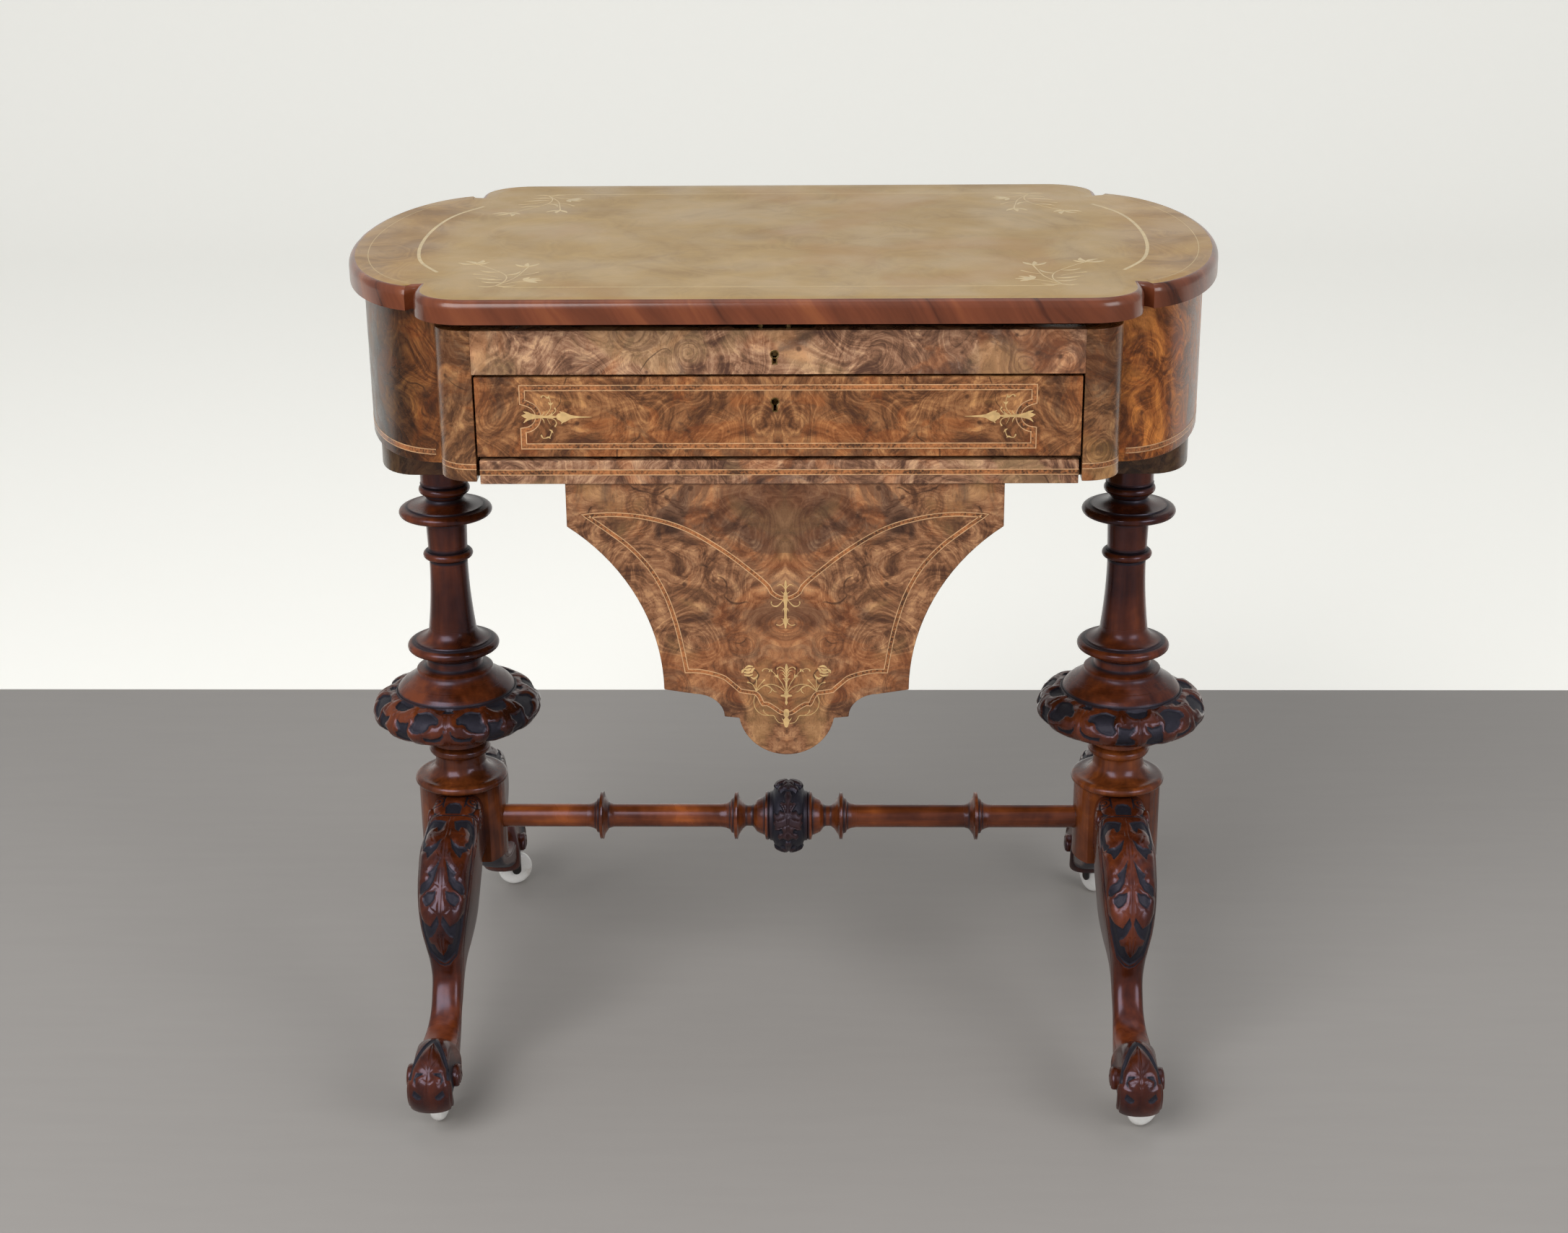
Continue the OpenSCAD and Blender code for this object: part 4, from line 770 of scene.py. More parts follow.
def stroke(values):
    """Both edges of one leaf or stem from (x, y, width) triples, with round ends."""
    rows = np.array(values, float).reshape(-1, 3)
    length = np.linalg.norm(np.diff(rows[:, :2], axis=0), axis=1).sum()
    rows = smooth_rows(rows, max(7, int(length / 0.7)))
    rows[:, 2] = np.maximum(rows[:, 2], 0.12)
    for end, step in ((0, -1), (-1, 1)):
        way = rows[end, :2] - rows[end - step, :2]
        way /= max(np.linalg.norm(way), 1e-9)
        half = rows[end, 2] / 2
        cap = [(*(rows[end, :2] + way * half * math.sin(t)), 2 * half * max(math.cos(t), 0.05))
               for t in (0.5, 1.0, 1.4, math.pi / 2)]
        rows = np.vstack([rows, cap]) if step == 1 else np.vstack([cap[::-1], rows])
    way = np.gradient(rows[:, :2], axis=0)
    way /= np.maximum(np.linalg.norm(way, axis=1), 1e-9)[:, None]
    side = np.stack([-way[:, 1], way[:, 0]], -1) * rows[:, 2:] / 2
    return rows[:, :2] + side, rows[:, :2] - side


def plate_faces(start, n):
    """Faces of a thin plate. Its points are two upper and two lower lines of n points."""
    a, b, c, d = (start + n * k for k in range(4))
    faces = [quad for i in range(n - 1) for quad in (
        (a + i, b + i, b + i + 1, a + i + 1), (d + i, c + i, c + i + 1, d + i + 1),
        (a + i, a + i + 1, c + i + 1, c + i), (b + i + 1, b + i, d + i, d + i + 1))]
    return faces + [(a + i, b + i, d + i, c + i) for i in (0, n - 1)]


def marquetry(name, strokes, origin, frame_in, body, wood="light.box", rise=0.12, flips=()):
    """Thin plates of light wood for a spray, repeated for each flip. In a spray without
    flips, a stroke off the middle line has its mirror image."""
    points, faces = [], []
    count = 0
    for flip in flips or [(1, 1)]:
        for values in strokes:
            off_axis = not flips and abs(np.mean(values[::3])) > 1
            for mirror in (1, -1) if off_axis else (1,):
                lines = stroke(values)
                faces += plate_faces(len(points), len(lines[0]))
                count += 1
                for level in (rise + STAGGER * (count % 17), PLATE_BASE):
                    for line in lines:
                        spot = (line * (mirror, 1) + origin) * flip
                        points += [(x, y, level) for x, y in spot]
    mesh = outwards(mesh_of(name, np.array(points) * MM, faces), merge=None)
    mesh.transform(frame_in)
    piece(name, mesh, body, [finish(wood)], sharp=30)


# Sprays drawn as strokes: x, height and width of each point in mm, from the middle line.

LOWER_SPRAY = [
    (0.2, 15, 1.1, 0.2, 12.2, 2.4, 0.1, 8.2, 1, 0.1, 3, 1.8, 0, -6.3, 1.6, 0, -9.7, 3.6),
    (-3.9, -11.5, 1.3, 0, -11.5, 2.4, 3.9, -11.5, 1.3),
    (0, -11.9, 2.7, -0.1, -15.2, 1.3, -0.1, -17.5, 2.3, -0.1, -19.4, 0.5),
    (-2.6, 3, 0.6, 2.8, 3, 0.6),
    (0.5, 8.2, 0.3, 2, 11.4, 0.6, 4.6, 12.8, 0.6, 6.5, 12.2, 0.6, 7, 11.3, 1.1),
    (0.9, 6.8, 0.7, 2.5, 9.7, 0.6, 4.8, 10.3, 0.2),
    (0.7, 4.2, 0.7, 2, 6.4, 0.6, 3.5, 7, 0.2),
    (0.7, 0.2, 0.6, 1.9, 2.4, 0.5, 2.9, 3.2, 0.2),
    (1.1, -6.7, 0.5, 3.4, -0.8, 0.5, 6.7, 4, 0.5),
    (6.7, 4, 1, 7.9, 5.5, 1.6, 9.3, 5, 0.3),
    (6.4, 4.2, 0.8, 6.7, 6.2, 0.8, 6.4, 7.2, 0.2),
    (7.9, 5.5, 0.4, 9.8, 8.1, 0.4, 11.5, 9.5, 0.4),
    (11.3, 9.3, 1, 12.2, 10.3, 1.6, 13.7, 8.5, 0.3),
    (11.2, 9.3, 0.7, 11.3, 10.5, 0.7, 10.9, 11.3, 0.2),
    (12.8, 10.3, 0.4, 15.4, 11.6, 0.5, 17.9, 10.9, 0.6, 18.6, 9.7, 1.2),
    (1.3, -8.1, 0.6, 4.5, -4.7, 0.6, 9, -2.4, 0.6, 13.3, -1.8, 0.6, 17.9, -3.1, 0.7, 21.7, -5.9,
     0.7, 24, -7.6, 1),
    (17.6, -2.9, 0.5, 15, -3.1, 0.7, 12.3, -4.8, 0.8, 9.7, -7.5, 0.6, 7.5, -8.5, 0.2),
    (14.7, -3.1, 0.4, 12.4, -4.3, 0.6, 11.6, -6.3, 0.8, 12.4, -8.4, 0.7, 14.2, -9.6, 0.2),
    (23.9, -7.2, 0.7, 23.8, -3, 0.5, 23.5, 2.4, 0.6),
    (23.9, -7.2, 0.7, 21.7, -3.5, 0.5, 19.1, -0.2, 0.5, 17.2, 1.9, 1.3),
    (23.9, -7.2, 0.7, 25.8, -3, 0.5, 28, -0.8, 0.5, 30.3, -0.1, 1.2),
    (22.2, 6.8, 0.3, 23.3, 4.5, 1.3, 25.4, 3.1, 1.6, 27.8, 4.2, 0.5),
    (24.9, 11.9, 0.8, 26.4, 10.6, 2.1, 27.1, 8.2, 1),
    (26.4, 13.2, 1, 29.3, 13.7, 1.8, 31.7, 12.4, 1),
    (27.8, 11.6, 1, 29.9, 10.6, 2.3, 32.2, 10.8, 1),
    (32.3, 11.3, 1.1, 34.2, 9.7, 1.9, 34.8, 8.1, 1),
    (27.4, 9, 1.1, 29.8, 8.1, 2.1, 32.9, 8.4, 1.3),
    (26.3, 6.5, 0.6, 29.3, 5.5, 1.5, 32.7, 6.1, 1.1),
    (-24.7, -11.6, 0.5, -25.8, -16, 0.5, -24.9, -21.7, 0.5, -22, -25.8, 0.5, -17.5, -28.2, 0.5,
     -10.4, -28.6, 0.5, -8.6, -31.4, 0.5, -6.3, -34.3, 0.5, -2.6, -35.5, 0.5),
    (-14.4, -28, 0.3, -17.3, -26.4, 0.5, -18.4, -23.8, 0.9),
    (-0.1, -25.1, 4.5, -0.2, -28.7, 3.9, -0.2, -30, 2.1, -0.2, -33.1, 5, -0.3, -37.3, 2.9),
    (1.4, -33.7, 1.1, 2.9, -32.1, 0.8, 3.9, -30.3, 0.2),
]
UPPER_SPRAY = [
    (0.2, 14.7, 1, 0.1, 11.4, 1.9, 0.1, 6.7, 1.3, 0.1, 4.4, 2.7, 0, -0.7, 3.6, 0, -5.1, 2.1, 0,
     -9.4, 2.3),
    (0, -9.2, 2.7, -0.1, -13.3, 1.8, -0.1, -16.5, 2.7, -0.1, -18.5, 4.4, -0.1, -20.8, 2.1, -0.2,
     -24, 1.3),
    (0.3, 8.1, 0.4, 2.3, 10.9, 0.6, 4.4, 11.9, 0.6, 6.3, 10.5, 0.3),
    (1, 3.9, 0.6, 2.3, 5, 0.5, 3.5, 6.1, 0.2),
    (1.2, 0, 0.4, 3.7, -3.5, 0.7, 6.6, -6.1, 1.1, 9.6, -5.9, 0.8, 11.1, -4, 0.6, 11, -2.7, 1.1),
    (0.4, -7.6, 0.8, 1.7, -8.5, 0.7, 2.6, -10.7, 0.2),
    (0.6, -17.4, 1, 2.1, -17, 0.6, 3.3, -16.3, 0.2),
    (0.9, -19.1, 0.6, 2.8, -21.3, 0.6, 4.9, -22.1, 0.5, 7.1, -21.6, 0.7),
]
ARROW = [
    (54.1, -0.2, 0.2, 42, -0.1, 1.8, 37.7, 0, 3.2),
    (38.4, 0, 2.7, 32.7, -0.2, 8.4, 30.1, 0, 5.7),
    (34.2, 1.9, 2.4, 31.7, 3.2, 1.5, 30.1, 4.3, 0.4),
    (34.4, -2, 2.4, 32.5, -3.5, 1.6, 31, -5.4, 0.4),
    (31.3, 0, 1.6, 26.9, 0, 1.1, 23, 0, 2.7, 19, 0, 1.8, 11.8, 0.2, 2.9, 9.1, 0.3, 4.5),
    (9.7, 0.3, 3.9, 6.1, 0.5, 3.7, 3.4, 0.8, 2.9, 1.1, 1.1, 0.4),
    (8.8, 2, 0.6, 5.5, 3, 1.8, 2.5, 4.2, 0.3),
    (8.8, -1.5, 0.6, 5.3, -2, 1.8, 2.5, -4.6, 0.4),
    (19.5, 1.3, 0.6, 22.9, 5.8, 0.5, 23.6, 9.9, 0.6),
    (25.3, 11.1, 0.3, 23.3, 9.9, 1.8, 21.8, 11.4, 0.3),
    (23.6, 9.9, 0.6, 23.1, 13.2, 0.5, 22.4, 15.3, 0.8),
    (22.8, 16.9, 0.3, 21.5, 14.8, 1.5, 19.7, 15.9, 0.7, 18, 16.8, 0.6, 16.7, 15.6, 1.3),
    (23.5, 1.2, 0.6, 26.2, 3.4, 0.6, 27.2, 5.3, 0.6, 26.5, 6.7, 1.2),
    (16.4, 1.2, 0.6, 17.8, 2.5, 0.7, 18.5, 4.5, 0.2),
    (22.1, 1.3, 0.6, 23.9, 2.4, 0.7, 24.5, 4.2, 0.2),
    (16.3, -1, 0.6, 17.6, -2.5, 0.7, 18.2, -4.9, 0.2),
    (23.4, -1, 0.6, 26.3, -2.5, 0.6, 27.3, -5.1, 0.6, 26.2, -7.3, 1.2),
    (20.4, -1.3, 0.3, 22.6, -6.1, 0.2),
    (21.6, -10, 0.3, 23.3, -10.9, 1.3, 24.4, -12.7, 0.3),
    (23.4, -11, 0.6, 22.8, -13.7, 0.5, 21.9, -15.7, 0.8),
    (22.2, -17, 0.3, 20.9, -16, 1.3, 18.6, -16.7, 0.7, 16.6, -16.7, 0.6, 15.5, -14.7, 1.3),
]
TOP_SPRAY = [
    (214, -178, 1, 209, -160, 1, 212, -140, 0.9, 226, -118, 0.9, 240, -101, 1.6),
    (213, -176, 0.9, 203, -152, 0.9, 199, -128, 0.9, 197, -113, 1.5),
    (212, -177, 0.9, 203, -168, 0.9, 193, -163, 1.4),
    (212, -158, 0.8, 221, -157, 3.4, 233, -151, 0.5),
    (211, -168, 0.8, 219, -168, 3.2, 227, -164, 0.5),
    (211, -142, 0.8, 204, -138, 2.8, 201, -129, 0.5),
    (217, -131, 0.8, 226, -131, 2.8, 233, -125, 0.5),
    (214, -178, 0.8, 207, -181, 2.6, 199, -178, 0.5),
    (213, -178, 0.8, 220, -182, 2.4, 227, -179, 0.5),
    (240, -102, 1.2, 243, -96, 4.4, 249, -92, 1), (240, -101, 1.2, 236, -95, 4.4, 236, -88, 1),
    (241, -103, 1.2, 248, -102, 4.2, 254, -98, 1),
    (239, -104, 1.2, 234, -101, 3.6, 230, -96, 0.8), (197, -113, 1, 193, -108, 4, 190, -102, 0.8),
    (197, -113, 1, 199, -107, 4, 199, -100, 0.8), (198, -114, 1, 204, -110, 3.4, 208, -104, 0.8),
    (193, -163, 2, 188, -165, 5, 184, -168, 1.5), (193, -162, 2, 187, -160, 5, 181, -160, 1.5),
    (193, -161, 2, 189, -156, 4.6, 184, -153, 1.5),
    (194, -161, 2, 194, -155, 4.4, 192, -150, 1.5),
    (216, -150, 0.7, 226, -142, 0.9, 236, -138, 1.8),
    (206, -146, 0.7, 194, -140, 0.9, 187, -132, 1.8),
]


# Carving

def rise(value, low, high):
    """Goes smoothly from 0 at low to 1 at high."""
    t = np.clip((np.asarray(value, float) - low) / (high - low), 0, 1)
    return t * t * (3 - 2 * t)


def away(path, x, y):
    """Distance of each point from a line of points."""
    best = np.full(np.shape(x), 1e9)
    for (ax, ay), (bx, by) in zip(path, path[1:]):
        dx, dy = bx - ax, by - ay
        t = np.clip(((x - ax) * dx + (y - ay) * dy) / (dx * dx + dy * dy + 1e-12), 0, 1)
        best = np.minimum(best, np.hypot(x - ax - t * dx, y - ay - t * dy))
    return best


def within(outline, x, y):
    """How far inside a closed outline each point is; outside it the distance is negative."""
    inside = np.zeros(np.shape(x), bool)
    ring = list(outline) + [outline[0]]
    for (ax, ay), (bx, by) in zip(ring, ring[1:]):
        if ay != by:
            inside ^= ((ay > y) != (by > y)) & (x < ax + (bx - ax) * (y - ay) / (by - ay))
    return np.where(inside, 1, -1) * away(ring, x, y)


def carved(x, y, grounds=(), grooves=(), veins=(), depth=1.0):
    """How deep a drawing is cut at each point, in mm, and how dark it is painted there: painted
    shade, with some grime, in the grounds and grooves. Grounds are closed outlines between the
    leaves; grooves and veins are lines. The leaves bulge towards their edges, so the cut begins 4
    mm outside a ground."""
    cut, dark = np.zeros(np.shape(x)), np.zeros(np.shape(x))
    for outline in grounds:
        inside = within(outline, x, y)
        cut = np.maximum(cut, 0.38 * rise(inside, -4.2, 0) + 0.62 * rise(inside, -0.35, 0.9))
        dark = np.maximum(dark, rise(inside, -0.6, 0.3))
    cut *= sizes().carving_depth / MM * depth
    for path in grooves:
        near = rise(away(path, x, y), 1.3, 0.2)
        cut, dark = np.maximum(cut, near), np.maximum(dark, 0.8 * near)
    for path in veins:
        cut = np.maximum(cut, 0.6 * rise(away(path, x, y), 1.0, 0.1))
        dark = np.maximum(dark, 0.25 * rise(away(path, x, y), 0.8, 0.2))
    return cut, dark


def cut_into(points, cut):
    """A grid of rings of points, each moved inwards by its cut."""
    down = np.gradient(points, axis=0)
    along = np.roll(points, -1, 1) - np.roll(points, 1, 1)
    out = np.cross(along, down)
    out /= np.maximum(np.linalg.norm(out, axis=-1), 1e-9)[..., None]
    side = np.sign((out * (points - points.mean(1, keepdims=True))).sum())
    return points - out * side * cut[..., None]


# Dark ground on the collar: degrees from a leaf's vein, and mm up round the bulge
COLLAR_GROUNDS = [
    [(6.5, 13.5), (7.2, 18.5), (10.5, 21.5), (14, 25), (20, 25.5), (26.5, 23), (26, 17.3),
     (25.5, 12.5), (28, 6), (25.5, 1.8), (21, 2), (16.5, 4), (13.8, 7.5), (12.7, 11.3),
     (10.2, 12.5), (8, 12)],
    [(2.1, 7), (3.5, 2), (6.3, -1), (11.5, -3), (16.8, -1.8), (16, -7.4), (10.5, -7.6),
     (5.3, -4.9), (2.8, 0.5)],
    [(29.5, 11), (33, 9.8), (37.3, 9.1), (40.5, 11.2), (40.5, 7.3), (37.8, 3.2), (37.2, 0.6),
     (40.5, -2.5), (41, -9), (36, -13.5), (30, -13.7), (27.5, -11), (29.3, -0.7), (29.8, 3)],
    [(34.8, 29), (39, 31), (46, 31), (46, 18.5), (43.5, 20), (41.5, 19.8), (38.5, 21.7)],
    [(-1, 31), (3, 31), (4.5, 26), (-1, 24)]]
COLLAR_VEINS = [
    [(0.9, -18), (0.9, 24)], [(3, 20), (6, 30)], [(18, 26), (20, 31)], [(28, 24), (28.5, 31)],
    [(20, -9), (19, -22)], [(10, -9), (7, -22)], [(31, 23), (33, 14)], [(44.2, -18), (44.2, 16)]]
COLLAR_DEGREE = 1.25    # mm round the bulge for each degree
BULGE_R = 54.5          # centre of the bulge's section in mm, and its reach outwards and upwards
BULGE_OUT = 19.5
BULGE_UP = 17.5
COLLAR_TURNS = {"left": -88.7, "right": -36.7}  # angle of a leaf's vein, in degrees


def bent_round(drawing, scale):
    """The lines of a drawing with mm round the piece in place of degrees."""
    return [[(x * scale[0], y * scale[1]) for x, y in line] for line in drawing]


def collar_carving(turn):
    """Carving of a collar: four broad leaves round its bulge, with ground painted dark as shade
    and grime between their tips. The vein of the first one is at the angle turn."""
    scale = (COLLAR_DEGREE, 1)
    grounds, veins = bent_round(COLLAR_GROUNDS, scale), bent_round(COLLAR_VEINS, scale)

    def carve(angle, radius, height):
        apart = (np.degrees(angle) - turn) % 90
        u = np.minimum(apart, 90 - apart) * COLLAR_DEGREE
        v = (BULGE_OUT + BULGE_UP) / 2 * np.arctan2((height - COLLAR_MID) / BULGE_UP,
                                                    (radius - BULGE_R) / BULGE_OUT)
        cut, dark = carved(u, v, grounds, [], veins, 1.15)
        low, high = rise(v, -12, -21), rise(v, 19, 27)
        wave = u / (45 * COLLAR_DEGREE) * math.pi
        cut = cut + 1.3 * low * (1 + np.cos(wave * 6)) / 2
        cut = cut + 1.2 * high * (1 - np.cos(wave * 5)) / 2
        bulge = rise(radius, 52.3, 53.4)
        # The cut band under the bulge is painted dark too, as shade with some grime
        return cut * bulge, np.maximum(dark, 0.8 * low) * bulge

    return carve


# One leaf of the boss: distance from the leaf's vein, and way up round the boss, in mm
BOSS_LEAF = [
    (-1, 26), (2.5, 25.5), (3.8, 21), (3, 15.5), (2.6, 13.5), (7, 14.5), (7.8, 12), (5.5, 8),
    (4, 4.5), (8, 6), (10.5, 2), (14, 4), (14.2, -1), (12.8, -4), (15, -7), (12.8, -10),
    (13, -15), (8.5, -14), (6, -12), (5, -16), (9, -17.5), (10.5, -22), (8, -26), (4.5, -22.5),
    (2, -24), (-1, -27)]
BOSS_VEINS = [
    [(0, 22), (0, -24)], [(0.4, 3), (4, -2), (10, -4)], [(1.4, 0), (2.6, 6), (6, 12.5)],
    [(0.6, -8), (4, -10), (10, -12)], [(0.6, -14), (6, -20)]]
BOSS_DEGREE = 0.585     # mm round the boss for each degree
BOSS_TURN = 112         # angle of the first leaf's upper end, in degrees


def boss_carving(angle, radius, height):
    """Four leaves that hang down round the boss of the stretcher. All of it is dark."""
    x = np.abs(height)
    up = 26.3 - (np.degrees(angle) - BOSS_TURN) % 90 * BOSS_DEGREE
    inside = within(BOSS_LEAF, x, up)
    proud = rise(radius, 21.8, 23)
    ground, puff = rise(inside, 0.6, -0.5) * proud, rise(inside, 3.2, 0) * proud
    cut = carved(x, up, veins=BOSS_VEINS)[0] * 1.9 + ground * 2.2 + puff
    return cut, (0.6 + 0.3 * ground) * rise(x, 17.4, 16.8)


# Turned pieces

def bead(radius, z, half, depth, steps=10):
    return [(radius - depth + depth * math.cos(a), z + half * math.sin(a))
            for a in np.linspace(math.pi / 2, -math.pi / 2, steps + 1)]


def cove(a, b, steps=12):
    return [(a[0] + (b[0] - a[0]) * (1 - math.cos(t)), a[1] + (b[1] - a[1]) * math.sin(t))
            for t in np.linspace(0, math.pi / 2, steps + 1)]


def refined(outline, longest):
    """The outline with long straight runs cut into shorter ones."""
    points = [outline[0]]
    for a, b in zip(outline, outline[1:]):
        parts = max(1, math.ceil(math.dist(a, b) / longest))
        points += [tuple(a[k] + (b[k] - a[k]) * i / parts for k in (0, 1))
                   for i in range(1, parts + 1)]
    return points


HOLLOW_SHADE_REACH = 1.7   # mm from a hollow corner


def hollow_shade_and_grime(rows, side):
    """Painted shade for each point of an outline, darkest in the hollow corners, where old polish
    also gathers.
    """
    way = np.diff(rows, axis=0)
    bend = way[:-1, 0] * way[1:, 1] - way[:-1, 1] * way[1:, 0]
    bend = np.arctan2(bend * side, (way[:-1] * way[1:]).sum(1))
    bend = np.concatenate([[0], np.maximum(bend, 0), [0]])
    run = np.append(0, np.hypot(way[:, 0], way[:, 1]).cumsum())
    near = np.exp(-(np.abs(run[:, None] - run) / HOLLOW_SHADE_REACH) ** 1.5)
    return np.minimum((near * bend).sum(1) * 0.8, 0.62)


def turned(name, outline, centre, axis="z", carve=None, longest=1.6, steps=None):
    """A closed turning from (radius, height) in mm. carve(angle, radius, height) gives how deep
    each point is cut and how dark its ground is painted as shade and grime."""
    steps = steps or sizes().lathe_steps
    rows = np.array(refined(outline, longest))
    angles = np.linspace(0, 2 * math.pi, steps, endpoint=False)
    r = np.repeat(rows[:, :1], steps, 1)
    z = np.repeat(rows[:, 1:], steps, 1)
    a = np.repeat(angles[None], len(rows), 0)
    slope = np.gradient(rows, axis=0)
    length = np.maximum(np.hypot(slope[:, 0], slope[:, 1]), 1e-9)
    side = 1 if rows[0, 1] > rows[-1, 1] else -1
    out = (-slope[:, 1] / length * side)[:, None], (slope[:, 0] / length * side)[:, None]
    # Painted shade, with some grime, in the outline's hollow corners
    recess = np.repeat(hollow_shade_and_grime(rows, side)[:, None], steps, 1)
    if carve:
        cut, dark = carve(a, r, z)
        r, z, recess = r - cut * out[0], z - cut * out[1], np.maximum(recess, dark)
    ring = r * np.cos(a), r * np.sin(a)
    place = {"z": (ring[0], ring[1], z), "x": (z, ring[0], ring[1])}[axis]
    points = np.stack(place, -1).reshape(-1, 3) * MM + np.array(centre)
    faces = [(j * steps + i, (j + 1) * steps + i, (j + 1) * steps + (i + 1) % steps,
              j * steps + (i + 1) % steps) for j in range(len(rows) - 1) for i in range(steps)]
    mesh = mesh_of(name, points, faces)
    paint(mesh, "recess", recess)
    return outwards(mesh, close=True)


def middle(node):
    low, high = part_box(node)
    return (low + high) / 2


PEG = 20            # length of the pegs at both ends of a column, in mm
DISC = 40.0         # radius of the column's discs
SHAFT = 16.5        # radius of the shaft at its waist


def column_outline(h):
    """From the top down, for a column of the height h: top peg, rings, discs, bell, lower peg."""
    return ([(12, h + PEG), (12, h), (20, h), (20, h - 37.6), (20.6, h - 38.6)]
            + bead(22, h - 44, 3.6, 3.4)
            + [(18.2, h - 48), (18, h - 49)] + cove((15.5, h - 52), (DISC - 7.5, h - 58.3), 16)
            + [(DISC - 7.1, h - 59.3), (DISC - 4.8, h - 59.7)]
            + bead(DISC, h - 63.7, 3.8, 4.2, 14)
            + [(DISC - 8, h - 67.8), (DISC - 9, h - 68.6), (24, h - 69.2)]
            + [(23.4, h - 70.6), (21.8, h - 71.6), (19.2, h - 72), (17.6, h - 73.5)]
            + [(16.9, h - 98.3), (18.3, h - 98.8)]
            + bead(SHAFT + 5, h - 103, 3.6, 4)
            + [(18.2, h - 107), (16.6, h - 107.8)]
            + [(SHAFT + 3.9 * k * k, h - 107.8 - 61 * k) for k in np.linspace(0, 1, 24)]
            + cove((20.4, h - 169), (DISC - 7.5, h - 181), 16)
            + [(DISC - 7, h - 182), (DISC - 4.8, h - 182.6)]
            + bead(DISC, h - 187, 4, 4.4, 14)
            + [(DISC - 6, h - 191.6), (31, h - 193.6), (27.6, h - 195.6), (25.4, h - 197)]
            + [(24.2, h - 198), (24.8, 15.5)] + cove((24.9, 14.6), (30.6, 11.6), 6)[1:]
            + [(32.2, 11.3), (33.3, 10.5)] + [(r, z) for r, z in DOME if z >= 0]
            + [(12, 0), (12, -PEG)])


COLLAR_H = 54       # height of a collar
COLLAR_R = 74       # its radius at the bulge
COLLAR_MID = 26.5   # height of the bulge's widest line
DOME = [(33.4, 9), (33.8, 7.7), (35.2, 5.8), (37.6, 3.6), (40.4, 1.8), (43.3, 0), (46.2, -2),
        (48.8, -4.4), (50.8, -7), (51.5, -8.4)]     # the bell under the column, from its top


def collar_outline():
    """From the top down: lower half of the bell, the carved bulge, a cove to the foot."""
    upper = [(COLLAR_R - 22 + 22 * math.cos(a), COLLAR_MID + 18.5 * math.sin(a))
             for a in np.linspace(math.pi / 2, 0, 30)]
    lower = [(COLLAR_R - 22 + 22 * math.cos(a), COLLAR_MID + 14.5 * math.sin(a))
             for a in np.linspace(0, -math.pi / 2, 26)[1:]]
    bell = [(r, COLLAR_H + z) for r, z in DOME if z <= 0]
    return ([(12.05, COLLAR_H)] + bell + [(51.6, COLLAR_MID + 18.2)] + upper + lower
            + [(48, 11.6), (45, 10.4)] + cove((44, 9.4), (29, 1.6)) + [(28, 0), (12.05, 0)])


class WORK_TABLE_OT_columns(bpy.types.Operator):
    """Turn the columns and collars, and dress the bearers and blocks"""

    bl_idname = "work_table.columns"
    bl_label = "Columns"

    def execute(self, context):
        for side in ("left", "right"):
            node = "column_" + side
            low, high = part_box(node)
            x = middle(node).x
            foot = low.z + PEG * MM
            height = (high.z - low.z) / MM - 2 * PEG
            piece("turned_" + node, turned(node, column_outline(height), (x, 0, foot)),
                  "table", [finish("polished.z")], [node], 28)
            node = "collar_" + side
            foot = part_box(node)[0].z
            mesh = turned(node, collar_outline(), (x, 0, foot),
                          carve=collar_carving(COLLAR_TURNS[side]), longest=1.1, steps=380)
            piece("carved_" + node, mesh, "table", [finish("polished.z")], [node],
                  50)
            softened("burr.bearer", "bearer_" + side, wear=1.5)
            softened("polished.z.warm", "block_" + side, wear=1.5)
        return {"FINISHED"}


class WORK_TABLE_OT_stretcher(bpy.types.Operator):
    """Turn the stretcher and carve its boss"""

    bl_idname = "work_table.stretcher"
    bl_label = "Stretcher"

    def execute(self, context):
        low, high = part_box("stretcher")
        half = (high.x - low.x) / 2 / MM
        right = self.half_outline(half)
        left = [(r, -x) for r, x in reversed(right)]
        place = (0, 0, (low.z + high.z) / 2)
        mesh = turned("stretcher", left + self.boss() + right, place, axis="x", carve=boss_carving,
                      steps=240)
        piece("turned_stretcher", mesh, "table", [finish("polished.x.light")], ["stretcher"],
              40)
        return {"FINISHED"}

    def boss(self):
        """The carved bulge in the middle, from left to right."""
        return [(33.5 - 11.5 * (1 - math.cos(a)), 17 * math.sin(a))
                for a in np.linspace(-math.pi / 2, math.pi / 2, 56)]

    def half_outline(self, half):
        """Radius and distance from the middle, from the boss outwards."""
        flange = [(20.7, 17), (22, 18.3), (21.5, 20.5), (17.5, 21.5), (16, 25.5), (14.5, 28.5),
                  (10.2, 31.5), (9.4, 33), (9.4, 38)]
        ring = [(11.7, -6), (17.3, -2.2), (21.4, -1.2), (22.5, -0.3), (22.5, 0.4), (21.4, 1.3),
                (16, 2.4), (15.2, 4.5), (12.8, 5.5), (11.2, 9)]
        return (flange + [(r, 47 + x) for r, x in ring] + [(10.4, 61), (10.4, 158)]
                + [(r, 168 + x) for r, x in ring] + [(10.4, 180), (10.4, half)])


# Legs, in mm

FLAT_Y = 27         # the block's flat, where a leg starts
BLOCK_TOP = 219     # height of the block's top
SCROLL_Z = 46       # centre of the foot scroll
FOOT_Y = 222
SCROLL_R = 31       # radius of the foot scroll's middle
FOOT_OVAL = 35 / 31     # how much longer than high the scroll is
KNEE_X = 22.5       # half widths of the leg
ANKLE_X = 13
POCKET_R = 28.85    # the castor's pocket in the foot
POCKET_TOP = 43.2
CARVED_TO = 205     # way down the leg that is carved
SHANK_STEP = 0.85   # distance between the rings there, and below it
PLAIN_STEP = 2.2
SHANK_RING = 168    # points on each ring

